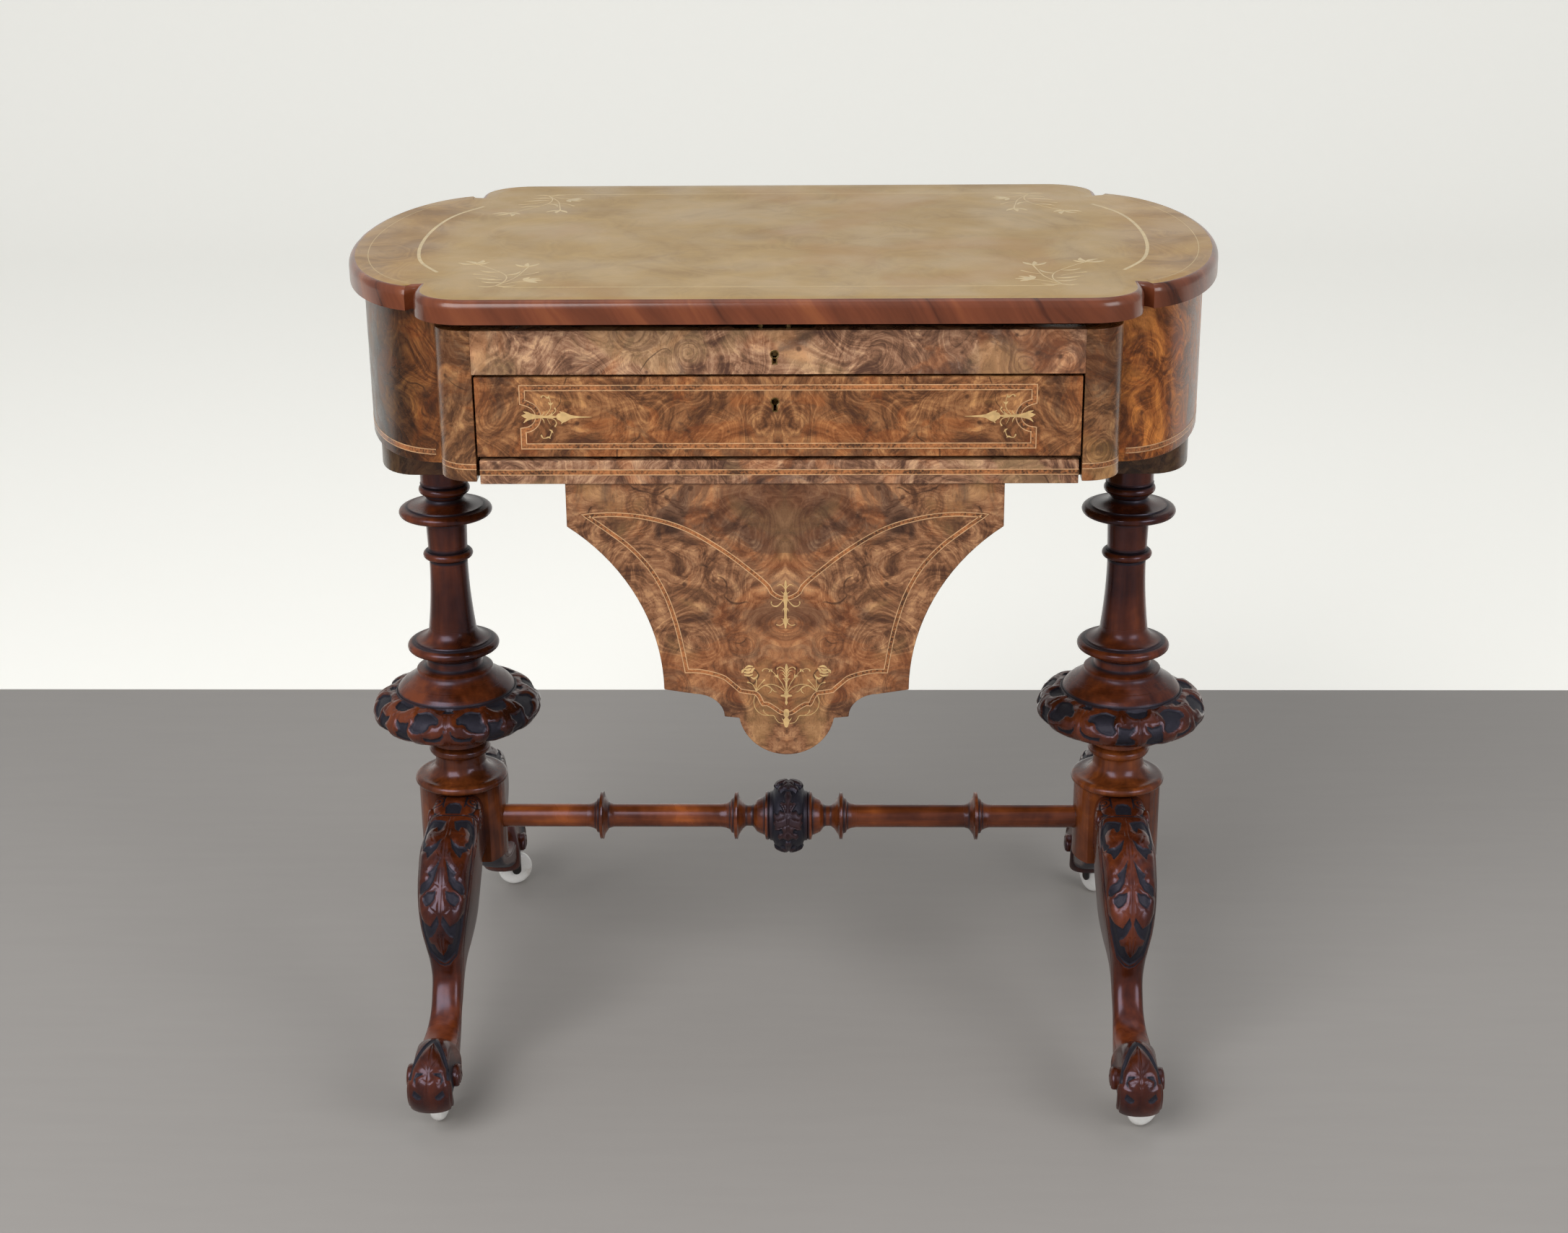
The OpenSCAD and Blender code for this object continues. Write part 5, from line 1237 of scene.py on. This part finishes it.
# Stations down the leg: shares of reach and rise on its outer and its inner side, and how far
# its half width has gone from knee to ankle
STATIONS = np.array([
    (0, 0.983, 0, 0.607, 0), (0.085, 0.988, 0.055, 0.613, 0), (0.176, 0.965, 0.106, 0.618, 0),
    (0.291, 0.936, 0.146, 0.607, 0), (0.392, 0.919, 0.186, 0.561, 0),
    (0.508, 0.844, 0.231, 0.480, 0.08), (0.598, 0.728, 0.286, 0.399, 0.2),
    (0.643, 0.613, 0.337, 0.335, 0.4), (0.633, 0.497, 0.382, 0.283, 0.65),
    (0.603, 0.399, 0.422, 0.237, 0.85), (0.588, 0.301, 0.462, 0.191, 0.97),
    (0.618, 0.220, 0.513, 0.139, 1), (0.668, 0.150, 0.573, 0.090, 1),
    (0.729, 0.104, 0.643, 0.046, 0.9), (0.809, 0.092, 0.729, 0, 0.75),
    (0.900, 0.104, 0.820, -0.058, 0.6)])

# Carving of the leg, drawn on its outer side: distance from the middle line, way down, in mm
LEG_GROUNDS = [
    [(3.6, 45.9), (8.7, 43.5), (16.3, 42), (22.3, 45.9), (25.4, 54.8), (26, 68), (23.8, 79.4),
     (18.6, 81.2), (17.1, 77.7), (20, 72.9), (19.6, 61.2), (15.4, 54.8), (10.3, 53.1),
     (8.7, 59.7), (5.8, 56.5)],
    [(3.6, 71.4), (7.6, 77.7), (12.3, 81.2), (18.6, 79.9), (20.6, 83.1), (15.6, 87), (14.1, 93.1),
     (10.2, 89), (6.4, 83.1)],
    [(2.6, 95.2), (5.6, 101.3), (9, 105.3), (12, 107.3), (10.4, 111.4), (12.8, 114.5),
     (18.2, 116.2), (22, 119.7), (22.6, 123.8), (18, 125.8), (14.5, 123.8), (10.3, 121.8),
     (6.7, 115.6), (4.9, 107.3)],
    [(4.1, 123.8), (7.7, 125), (11.6, 124.8), (13, 126.5), (15.9, 127.7), (16.2, 131.4),
     (12.2, 136.7), (8.5, 135), (5.4, 131.4)],
    [(23.8, 141.8), (14.7, 149.7), (8.3, 154.3), (2.4, 145), (1.2, 151.3), (4.3, 159),
     (7.5, 163.7), (11.3, 165.2), (9.4, 171.3), (5.9, 172.7), (3.9, 179.7), (0.3, 186.4),
     (-3, 187), (-3, 196.5), (0, 196.5), (4.9, 193), (12.7, 182.4), (19.3, 169.8),
     (25.5, 151.3)],
    [(21.5, 10), (24.5, 16), (25, 23), (21, 31), (16, 34), (14, 33), (17.5, 30), (20.5, 25),
     (21, 18), (20.2, 12)],
    [(-6.5, 33), (-7, 24), (-4.5, 19), (0, 17.5), (4.5, 19), (7, 24), (6.5, 33)]]
LEG_GROOVES = [
    [(20, 38), (26, 58), (28.5, 90), (28, 115), (26, 138), (20, 166), (12, 186), (4, 197),
     (-1, 199)],
    [(9.5, 5), (10, 14), (9.4, 24)], [(-1, 36), (26, 36)],
    [(16 + 6.5 * math.cos(t), 15 + 8 * math.sin(t)) for t in np.linspace(2, 8.6, 22)],
    [(16 + 2.6 * math.cos(t), 15 + 3.2 * math.sin(t)) for t in np.linspace(0, 5.2, 12)]]
LEG_VEINS = [
    [(1.3, 38), (1.3, 186)], [(1.5, 95), (8, 82), (14, 66)], [(1.5, 120), (10, 112), (16, 100)],
    [(1.5, 145), (9, 138), (14, 130)], [(1, 165), (6, 158)],
    [(30, 62), (32.5, 100), (31, 140), (27, 180), (21, 215), (17.5, 250), (17.5, 330)]]

# Carving of the foot: distance from the middle line in mm, and degrees up from the toe
FOOT_GROUNDS = [
    [(3.4, 39), (10.3, 40), (12.6, 28), (10.3, 21), (11, 32), (6.5, 36)],
    [(5.8, 2), (12, 11.5), (13.5, 2), (9.7, -5), (6.3, -2.5)],
    [(-2, 120), (0, 120), (10.8, 77.5), (16.6, 49.5), (17, 28), (15, 28), (13.8, 49.5),
     (7.7, 74), (0, 98), (-2, 98)]]
FOOT_VEINS = [[(0, 92), (0, 12)], [(0.5, 40), (6, 58), (8, 66)], [(0.5, 24), (5, 30), (8, 27)],
              [(17.6, 20), (17.6, -60)]]
FOOT_DEGREE = 0.58      # mm round the foot for each degree


def leg_section(deep, wide, power):
    """Points round one section of the leg, in shares of its half depth and half width. They
    are closer together on its outer side, where the carving is."""
    fine = np.linspace(0, 2 * math.pi, 4001)
    edge = np.stack([np.cos(fine), np.sin(fine)], -1)
    edge = np.sign(edge) * np.abs(edge) ** power
    share = np.linalg.norm(np.diff(edge * (deep, wide), axis=0), axis=1)
    share = np.append(0, (share * (0.4 + rise(edge[:-1, 0], -0.5, 0.2))).cumsum())
    even = np.linspace(0, share[-1], SHANK_RING, endpoint=False)
    return np.stack([np.interp(even, share, edge[:, i]) for i in (0, 1)], -1)


def leg_shank():
    """Closed loft of the carved leg from the block to the foot scroll, for a leg towards +Y, and
    how dark each point is painted: shade and some grime in the carving, and shade on the inner
    side."""
    s = smooth_rows(STATIONS, 900)
    reach, high = FOOT_Y - FLAT_Y, BLOCK_TOP - SCROLL_Z
    way = np.hypot(np.diff(s[:, 0]) * reach, np.diff(s[:, 1]) * high).cumsum()
    way = np.concatenate([[0], way])
    rows = np.concatenate([np.arange(0, CARVED_TO, SHANK_STEP),
                           np.arange(CARVED_TO, way[-1], PLAIN_STEP), [way[-1]]])
    s = np.stack([np.interp(rows, way, column) for column in s.T], -1)
    outer, inner = (np.stack([FLAT_Y + s[:, k] * reach,
                              SCROLL_Z + s[:, k + 1] * high], -1)[:, None] for k in (0, 2))
    swell = 3 * rise(rows, 25, 75) * rise(rows, 185, 110)
    half = KNEE_X + (ANKLE_X - KNEE_X) * s[:, 4] + swell
    arm = np.linalg.norm(outer - inner, axis=-1)[:, 0] / 2
    squareness = 0.62 - 0.17 * rise(rows, 80, 35)
    ring = np.array([leg_section(*section) for section in zip(arm, half, squareness)])
    u, v = ring[..., :1], ring[..., 1]
    side = (outer + inner) / 2 + (outer - inner) / 2 * u
    points = np.concatenate([(half[:, None] * v)[..., None], side], -1)
    pace = np.linalg.norm(np.roll(points, -1, 1) - points, axis=-1)
    across = np.concatenate([np.zeros((len(rows), 1)), pace.cumsum(1)[:, :-1]], 1)
    across = np.minimum(across, pace.sum(1, keepdims=True) - across)
    down = np.repeat(rows[:, None], SHANK_RING, 1)
    cut, dark = carved(across, down, LEG_GROUNDS, LEG_GROOVES, LEG_VEINS)
    leaf = rise(within(LEG_GROOVES[0] + [(-9, 199), (-9, 38)], across, down), 0.5, 9)
    # Painted shade: the leg's inner side, turned away from the light, is made dark
    inner_side_shade = 0.9 * rise(u[..., 0], -0.45, -0.85)
    return cut_into(points, cut - 1.4 * leaf), np.maximum(dark, inner_side_shade)


def grid_faces(points):
    """Faces of a grid of rings with both ends filled."""
    rows, columns = points.shape[:2]
    faces = [(j * columns + i, j * columns + (i + 1) % columns,
              (j + 1) * columns + (i + 1) % columns, (j + 1) * columns + i)
             for j in range(rows - 1) for i in range(columns)]
    return faces + [tuple(range(columns)), tuple((rows - 1) * columns + i for i in range(columns))]


def foot_carving(points):
    """Depth and darkness of the foot's carving at points in mm."""
    scale = (1, FOOT_DEGREE)
    x = np.abs(points[..., 0])
    up = np.degrees(np.arctan2(points[..., 2] - SCROLL_Z, (points[..., 1] - FOOT_Y) / FOOT_OVAL))
    return carved(x, up * FOOT_DEGREE, bent_round(FOOT_GROUNDS, scale), [],
                  bent_round(FOOT_VEINS, scale), 0.8)


def foot_scroll():
    """The foot's rolled end, round in the middle and falling off to its sides."""
    u = np.linspace(-math.pi / 2, math.pi / 2, 76)[:, None]
    a = np.linspace(0, 2 * math.pi, 200, endpoint=False)[None]
    r = SCROLL_R - 9 * (1 - np.cos(u))
    x = (19 - 5 * np.clip(np.sin(a), 0, 1) ** 2) * np.sin(u)
    y = FOOT_Y + r * FOOT_OVAL * np.cos(a)
    z = SCROLL_Z + r * np.sin(a)
    points = np.stack([x, y, z], -1)
    return cut_into(points, foot_carving(points)[0])


def volute(name, radius, reach, y, z):
    """A roll across the leg with a spiral cut in each of its ends."""
    side = [(0.3, reach), (radius * 0.5, reach), (radius - 2, reach - 0.5),
            (radius - 0.6, reach - 1.2), (radius, reach - 2.6)]
    outline = [(r, -x) for r, x in side] + side[::-1]

    def spiral(angle, r, x):
        turn = (r - radius * 0.42 * (angle / (2 * math.pi) + 0.5)) % (radius * 0.42)
        near = rise(np.minimum(turn, radius * 0.42 - turn), 0.9, 0.2)
        near = near * rise(np.abs(x), reach - 1.6, reach - 0.9) * rise(r, 1.2, 2)
        return near * 1.1, near * 0.8

    return turned(name, outline, (0, y * MM, z * MM), axis="x", carve=spiral, longest=0.7,
                  steps=96)


def bored(mesh):
    """The mesh with the castor's round pocket bored up into it."""
    drill = turned("drill", [(POCKET_R, POCKET_TOP), (POCKET_R, -2)], (0, FOOT_Y * MM, 0),
                   steps=96)
    body, drill = linked(mesh.name, mesh), linked(drill.name, drill)
    pocket = body.modifiers.new("pocket", "BOOLEAN")
    pocket.operation, pocket.solver, pocket.object = "DIFFERENCE", "EXACT", drill
    return shaped(body, drill)


def as_arrays(mesh):
    """Points in mm, faces and darkness of a mesh, which is then given up."""
    points = np.empty(len(mesh.vertices) * 3, np.float32)
    mesh.vertices.foreach_get("co", points)
    dark = np.zeros(len(mesh.vertices), np.float32)
    if "recess" in mesh.attributes and mesh.attributes["recess"].domain == "POINT":
        mesh.attributes["recess"].data.foreach_get("value", dark)
    faces = [tuple(face.vertices) for face in mesh.polygons]
    bpy.data.meshes.remove(mesh)
    return points.reshape(-1, 3).astype(float) / MM, faces, dark


def carved_leg():
    """Points, faces and darkness of one leg that reaches to the back."""
    shank, dark = leg_shank()
    parts = [(shank.reshape(-1, 3), grid_faces(shank), dark.ravel()),
             as_arrays(volute("roll", 9.5, KNEE_X + 1.2, FLAT_Y + 21, BLOCK_TOP - 18))]
    scroll = foot_scroll()
    for mesh in (outwards(mesh_of("scroll", scroll.reshape(-1, 3) * MM, grid_faces(scroll))),
                 volute("eye", 11, 22.6, FOOT_Y, SCROLL_Z)):
        is_scroll = mesh.name.startswith("scroll")
        points, faces, dark = as_arrays(bored(mesh))
        if is_scroll:
            dark = foot_carving(points)[1]
        # Painted shade inside the castor's pocket
        bore = np.hypot(points[:, 0], points[:, 1] - FOOT_Y) < POCKET_R + 0.1
        dark = np.where(bore & (points[:, 2] < POCKET_TOP + 0.1), 0.8, dark)
        parts.append((points, faces, dark))
    starts = np.cumsum([0] + [len(part[0]) for part in parts])
    faces = [tuple(int(start) + i for i in face)
             for start, part in zip(starts, parts) for face in part[1]]
    return np.concatenate([part[0] for part in parts]), faces, np.concatenate(
        [part[2] for part in parts])


class WORK_TABLE_OT_legs(bpy.types.Operator):
    """Carve the four scrolled legs"""

    bl_idname = "work_table.legs"
    bl_label = "Legs"

    def execute(self, context):
        points, faces, dark = carved_leg()
        for row, way in (("front", -1), ("back", 1)):
            for side in ("left", "right"):
                node = f"leg_{row}_{side}"
                x = middle("column_" + side).x
                place = points * (1, way, 1) * MM + (x, 0, 0)
                mesh = mesh_of(node, place, faces)
                paint(mesh, "recess", dark)
                outwards(mesh)
                piece("carved_" + node, mesh, "table", [finish("polished.z.dark")], [node],
                      55)
        return {"FINISHED"}


# Case, top, drawer and work box

BOW_X = 265         # centre of the bowed ends' ellipse, in mm
BOW_A = 88.5        # its half widths for the top
BOW_B = 187
SHELL_A = 77.3      # and for the case under it
SHELL_B = 174.8
FRONT_Y = -215.3    # front faces of drawer and rails
PANEL_Y = -213.3    # front face of the work box's panel
PANEL_X = 4.5       # middle line of that panel
POST_BEND = 27      # radius of the posts' round corner
BAND_Z = 577.9      # height of the band round the case
RAIL_BAND_Z = 573.5     # and of the one on the work box's rail
PANEL_BAND = 0.75   # width of the panel's band as a share of the others
LINE_X = 208        # half length and place of the lines along the top's front and back
LINE_Y = 184
BORDER = 16         # how far the thin borders lie inside the bowed ends
TOP_HALF_X = 0.3535     # half sizes, in m, by which the edge's grain goes round the top
TOP_HALF_Y = 0.2295
EDGE_RUN = 0.30     # m of grain for each radian of the way round

# Boards of each part: their finish, then their nodes
CASE_BOARDS = (
    ("burr.end_left", "end_shell_left"), ("burr.end_right", "end_shell_right"),
    ("burr.post", "post_front_left", "post_front_right", "back_posts"),
    ("burr.rail", "lock_rail"), ("deal.x", "back_board"), ("deal.y", "end_floors", "side_boards"),
    ("deal.x", "tray_floor"), ("polished.x", "tray_dividers"),
    ("deal.y", "drawer_runners", "box_ledges"))
DRAWER_BOARDS = (("burr.drawer", "drawer_front"), ("deal.y", "drawer_sides"),
                 ("deal.x", "drawer_back"), ("deal.y", "drawer_bottom"))
BOX_BOARDS = (("burr.rail", "box_rail"), ("deal.y", "box_slides"),
              ("burr.panel", "box_front_panel", "box_back_panel"),
              ("deal.y", "box_side_left", "box_side_right", "box_bottom"))


def bow(half_x, half_y, reach, count):
    """Points on a bowed end's ellipse, up to so many degrees to each side."""
    return np.array([(BOW_X + half_x * math.cos(t), half_y * math.sin(t))
                     for t in np.radians(np.linspace(-reach, reach, count))])


class WORK_TABLE_OT_top(bpy.types.Operator):
    """Dress the hinged top: faded veneer and a cross-banded, moulded edge"""

    bl_idname = "work_table.top"
    bl_label = "Top"

    def execute(self, context):
        softened("top", "top_board", wear=0.1)
        self.edge()
        self.inlay()
        return {"FINISHED"}

    def inlay(self):
        """Lines along front and back, broad arcs and thin borders at the ends, four sprays."""
        face = at_height(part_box("top_board")[1].z / MM)
        for name, way in (("front", -1), ("back", 1)):
            inlaid_line("line_" + name, [(-LINE_X, LINE_Y * way), (LINE_X, LINE_Y * way)], face,
                        1.1)
        arc = curve((266, -131), (284, -95), (293, -52), (296, 0), (293, 52), (284, 95),
                    (266, 131))
        border = bow(BOW_A - BORDER, BOW_B - BORDER, 76, 60)
        for name, way in (("left", -1), ("right", 1)):
            inlaid_line("arc_" + name, arc * (way, 1), face, 2.8)
            inlaid_line("border_" + name, border * (way, 1), face, 0.5)
        marquetry("top_sprays", TOP_SPRAY, (0, 0), face, "top", "light.faded", 0.03,
                  [(x, y) for x in (-1, 1) for y in (1, -1)])

    def edge(self):
        """The edge takes its grain from the way round it, and veneer on its flat top."""
        mesh = merged_copy("top_edge_band")
        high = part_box("top_edge_band")[1].z
        co = np.array([v.co for v in mesh.vertices])
        bands = mesh.uv_layers.new(name="along")
        angle = np.arctan2(co[:, 1] / TOP_HALF_Y, co[:, 0] / TOP_HALF_X)
        for face in mesh.polygons:
            flat = face.normal.z > 0.9 and all(co[v, 2] > high - 1e-5 for v in face.vertices)
            face.material_index = 1 if flat else 0
            turn = [angle[v] for v in face.vertices]
            if max(turn) - min(turn) > math.pi:
                turn = [t + 2 * math.pi if t < 0 else t for t in turn]
            for loop, t, v in zip(face.loop_indices, turn, face.vertices):
                bands.data[loop].uv = (t * EDGE_RUN, co[v, 2])
        obj = piece("soft_top_edge", mesh, "top", [finish("band"), finish("top")],
                    ["top_edge_band"])
        wear_edges(obj, 0.8)


class WORK_TABLE_OT_case(bpy.types.Operator):
    """Dress the case: bowed ends, posts, rails, back and fitted tray"""

    bl_idname = "work_table.case"
    bl_label = "Case"

    def execute(self, context):
        for finish_name, *nodes in CASE_BOARDS:
            softened(finish_name, *nodes)
        self.bands()
        return {"FINISHED"}

    def bands(self):
        """One band runs round the bowed ends and the corner posts."""
        low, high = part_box("post_front_right")
        inner, outer, front = low.x / MM, high.x / MM, low.y / MM
        corner = [(outer - POST_BEND * (1 - math.sin(t)), front + POST_BEND * (1 - math.cos(t)))
                  for t in np.linspace(0, math.pi / 2, 14)]
        post = np.array([(inner, front), *corner, (outer, front + POST_BEND + 14)])
        end = bow(SHELL_A, SHELL_B, 88, 90)
        for side, way in (("left", -1), ("right", 1)):
            for name, run in (("end_" + side, end * (way, 1)),
                              ("post_front_" + side, post * (way, 1)),
                              ("post_back_" + side, post * (way, -1))):
                inlaid_band("band_" + name, [run], at_height(BAND_Z), "table", upright=True)


class WORK_TABLE_OT_drawer(bpy.types.Operator):
    """Dress the drawer and its inlaid front"""

    bl_idname = "work_table.drawer"
    bl_label = "Drawer"

    def execute(self, context):
        for finish_name, *nodes in DRAWER_BOARDS:
            softened(finish_name, *nodes)
        right = [curve((193, 628.9), (189.2, 627.7), (185, 625.3), (182.3, 621.7), (181.4, 617.4),
                       (182.5, 613.1), (185.4, 609.6), (189, 607.7), (193, 606.9), step=1.2),
                 [(193, 606.9), (193, 594.3)]]
        top = [[(-193, 628.9), (-193, 640), (193, 640), (193, 628.9)]]
        left = [mirrored(run) for run in reversed(right)]
        inlaid_band("band_drawer", top + right + left, on_front(FRONT_Y), "drawer",
                    closed_path=True)
        marquetry("drawer_arrows", ARROW, (-195, 617.5), on_front(FRONT_Y), "drawer",
                  flips=[(1, 1), (-1, 1)])
        return {"FINISHED"}


class WORK_TABLE_OT_work_box(bpy.types.Operator):
    """Dress the sliding work box and its inlaid panels"""

    bl_idname = "work_table.work_box"
    bl_label = "Work box"

    def execute(self, context):
        for finish_name, *nodes in BOX_BOARDS:
            softened(finish_name, *nodes)
        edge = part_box("box_rail")[1].x / MM
        inlaid_band("band_rail", [[(-edge, RAIL_BAND_Z), (edge, RAIL_BAND_Z)]],
                    on_front(FRONT_Y), "work_box")
        upper = curve((152.8, 538), (129.6, 539), (103.7, 535.8), (75.7, 526.7), (47.8, 509.5),
                      (26.2, 492.3), (14.2, 481.3), (10.4, 475), (4.6, 471.2), (0, 470.4))
        side = curve((152.8, 538), (136, 525.6), (119.4, 512), (104.5, 494.5), (93.5, 473.7),
                     (86.2, 451), (81.6, 429.7), (78.2, 409.5))
        lower = [curve((78.2, 409.5), (66, 409), (50.5, 404.7), (43, 399), (36.2, 392.7)),
                 curve((36.2, 392.7), (28.5, 391.4), (24.4, 390.7), (21.6, 387.7), (19.5, 382.9),
                       (18.4, 381.3), step=1),
                 curve((18.4, 381.3), (14.7, 381.3), (9.1, 377.7), (4.6, 374.3), (0, 373))]
        half = [upper[::-1], side, *lower]
        runs = [run + (PANEL_X, 0) for run in half + [mirrored(run) for run in reversed(half)]]
        face = on_front(PANEL_Y)
        inlaid_band("band_panel", runs, face, "work_box", PANEL_BAND, closed_path=True)
        marquetry("spray_upper", UPPER_SPRAY, (PANEL_X, 470), face, "work_box")
        marquetry("spray_lower", LOWER_SPRAY, (PANEL_X, 400), face, "work_box")
        return {"FINISHED"}


class WORK_TABLE_OT_metalwork(bpy.types.Operator):
    """Dress hinges, screws, locks and keyhole linings in brass"""

    bl_idname = "work_table.metalwork"
    bl_label = "Hinges and locks"

    def execute(self, context):
        softened("brass", "top_hinge_leaves", "case_hinge_leaves", "lock_prongs", "top_lock_case",
                 "top_lock_bolt", "top_keyhole_lining", "drawer_lock_case", "drawer_lock_bolt",
                 "drawer_keyhole_lining", "top_hinge_screws", "case_hinge_screws", wear=0.3)
        return {"FINISHED"}


class WORK_TABLE_OT_castors(bpy.types.Operator):
    """Dress the castors: iron plates and forks, glazed wheels"""

    bl_idname = "work_table.castors"
    bl_label = "Castors"

    def execute(self, context):
        softened("iron", "castor_plates", wear=0.6)
        for corner in ("front_left", "front_right", "back_left", "back_right"):
            softened("iron", "castor_fork_" + corner, wear=0.7)
            softened("ceramic", "castor_wheel_" + corner, wear=1.2)
        return {"FINISHED"}


# Stage, in m

ROOM_REACH = 6          # half width of the floor and the backdrop
FLOOR_END = 0.74        # where the floor meets the backdrop
BACKDROP_START = 3.2    # where the backdrop bends up, the radius of its bend, and its top
BACKDROP_BEND = 1.6
BACKDROP_TOP = 4
SENSOR = 36             # mm
FRAME_PIXELS = 2172     # width of the picture, and the lens in the same unit
FOCAL_PIXELS = 3350.06
CAMERA_TURNS = (-1.54, -20.69, -0.55)   # yaw, pitch and roll in degrees
CAMERA_PLACE = (0.05058, -1.97568, 1.12111)


class WORK_TABLE_OT_stage(bpy.types.Operator):
    """Set up the floor, backdrop, lamps and camera"""

    bl_idname = "work_table.stage"
    bl_label = "Stage"

    def execute(self, context):
        self.room()
        self.light()
        self.camera()
        context.scene.view_settings.view_transform = "Standard"
        return {"FINISHED"}

    def room(self):
        """A floor, and a pale backdrop that runs on from it and bends up far behind."""
        c = colours()
        grey = Finish("pale floor", roughness=0.55, specular=0.3)
        grain = grey.noise(grey.point(stretch=(0.15, 1, 1)), 60, detail=4)
        grey.set(Base_Color=grey.blend(grain, tint(c.floor, 0.97), tint(c.floor, 1.03)))
        pale = Finish("pale wall", roughness=0.9, specular=0.1)
        mark = pale.noise(pale.point(), 30, detail=3)
        seen = [pale.node("LightPath", {}, f"Is {ray} Ray")
                for ray in ("Camera", "Glossy", "Transmission")]
        glow = pale.math("ADD", seen[0] + seen[1], seen[2], clamp=True) * 0.4
        pale.set(Base_Color=pale.blend(mark, tint(c.wall, 0.99), tint(c.wall, 1.01)),
                 Emission_Color=c.wall, Emission_Strength=glow)
        reach, bend = ROOM_REACH, BACKDROP_BEND
        floor = mesh_of("floor", [(-reach, -reach, 0), (reach, -reach, 0), (reach, FLOOR_END, 0),
                                  (-reach, FLOOR_END, 0)], [(0, 1, 2, 3)])
        sweep = [(FLOOR_END, 0)] + [
            (BACKDROP_START + bend * math.sin(t), bend - bend * math.cos(t))
            for t in np.linspace(0, math.pi / 2, 24)] + [(BACKDROP_START + bend, BACKDROP_TOP)]
        n = len(sweep)
        back = mesh_of("backdrop", [(x, y, z) for x in (-reach, reach) for y, z in sweep],
                       [(i, n + i, n + i + 1, i + 1) for i in range(n - 1)])
        back.shade_smooth()
        for mesh, material in ((floor, grey.material), (back, pale.material)):
            mesh.materials.append(material)
            linked(mesh.name, mesh)

    def light(self):
        """A pale sky, and three lamps that look at the middle of the table."""
        world = bpy.data.worlds.new("room light")
        bpy.context.scene.world = world
        world.use_nodes = True
        sky = world.node_tree.nodes["Background"]
        sky.inputs["Color"].default_value = (0.95, 0.97, 1.0, 1)
        sky.inputs["Strength"].default_value = 0.36
        target = Vector((0, 0, 0.4))
        for name, place, size, power in (
                ("window", (-1.5, -2.3, 2.3), 2.2, 80), ("fill", (2.2, -2.0, 1.5), 1.4, 28),
                ("ceiling", (0.2, 0.1, 2.9), 2.0, 10)):
            lamp = bpy.data.lights.new(name, "AREA")
            lamp.energy = power
            lamp.size = size
            obj = linked(name, lamp)
            obj.location = place
            obj.rotation_euler = (target - obj.location).to_track_quat("-Z", "Y").to_euler()

    def camera(self):
        """The camera stands where the photograph's did."""
        lens = bpy.data.cameras.new("camera")
        lens.sensor_width = SENSOR
        lens.lens = FOCAL_PIXELS * SENSOR / FRAME_PIXELS
        yaw, pitch, roll = (math.radians(a) for a in CAMERA_TURNS)
        ahead = Vector((math.sin(yaw) * math.cos(pitch), math.cos(yaw) * math.cos(pitch),
                        math.sin(pitch)))
        level = Vector((math.cos(yaw), -math.sin(yaw), 0))
        over = level.cross(ahead)
        right = math.cos(roll) * level + math.sin(roll) * over
        up = math.cos(roll) * over - math.sin(roll) * level
        pose = Matrix((right, up, -ahead)).transposed().to_4x4()
        pose.translation = Vector(CAMERA_PLACE)
        obj = linked("camera", lens)
        obj.matrix_world = pose
        bpy.context.scene.camera = obj


class WORK_TABLE_PT_panel(bpy.types.Panel):
    """Lists the work table's pieces, sizes and colours"""

    bl_idname = "WORK_TABLE_PT_panel"
    bl_label = "Work table"
    bl_space_type = "VIEW_3D"
    bl_region_type = "UI"
    bl_category = "Work table"

    def draw(self, context):
        column = self.layout.column()
        for operator in OPERATORS:
            column.operator(operator.bl_idname)
        for group in (sizes(), colours()):
            for name in group.bl_rna.properties.keys():
                if name not in ("rna_type", "name"):
                    column.prop(group, name)


OPERATORS = (WORK_TABLE_OT_stage, WORK_TABLE_OT_top, WORK_TABLE_OT_case, WORK_TABLE_OT_drawer,
             WORK_TABLE_OT_work_box, WORK_TABLE_OT_columns, WORK_TABLE_OT_stretcher,
             WORK_TABLE_OT_legs, WORK_TABLE_OT_castors, WORK_TABLE_OT_metalwork)
CLASSES = (WorkTableColours, WorkTableSizes, *OPERATORS, WORK_TABLE_PT_panel)


def register():
    for cls in CLASSES:
        bpy.utils.register_class(cls)
    bpy.types.Scene.work_table_colours = bpy.props.PointerProperty(type=WorkTableColours)
    bpy.types.Scene.work_table_sizes = bpy.props.PointerProperty(type=WorkTableSizes)


def unregister():
    del bpy.types.Scene.work_table_sizes
    del bpy.types.Scene.work_table_colours
    for cls in reversed(CLASSES):
        bpy.utils.unregister_class(cls)


def main():
    register()
    for operator in OPERATORS:
        group, name = operator.bl_idname.split(".")
        getattr(getattr(bpy.ops, group), name)()


if __name__ == "__main__":
    main()
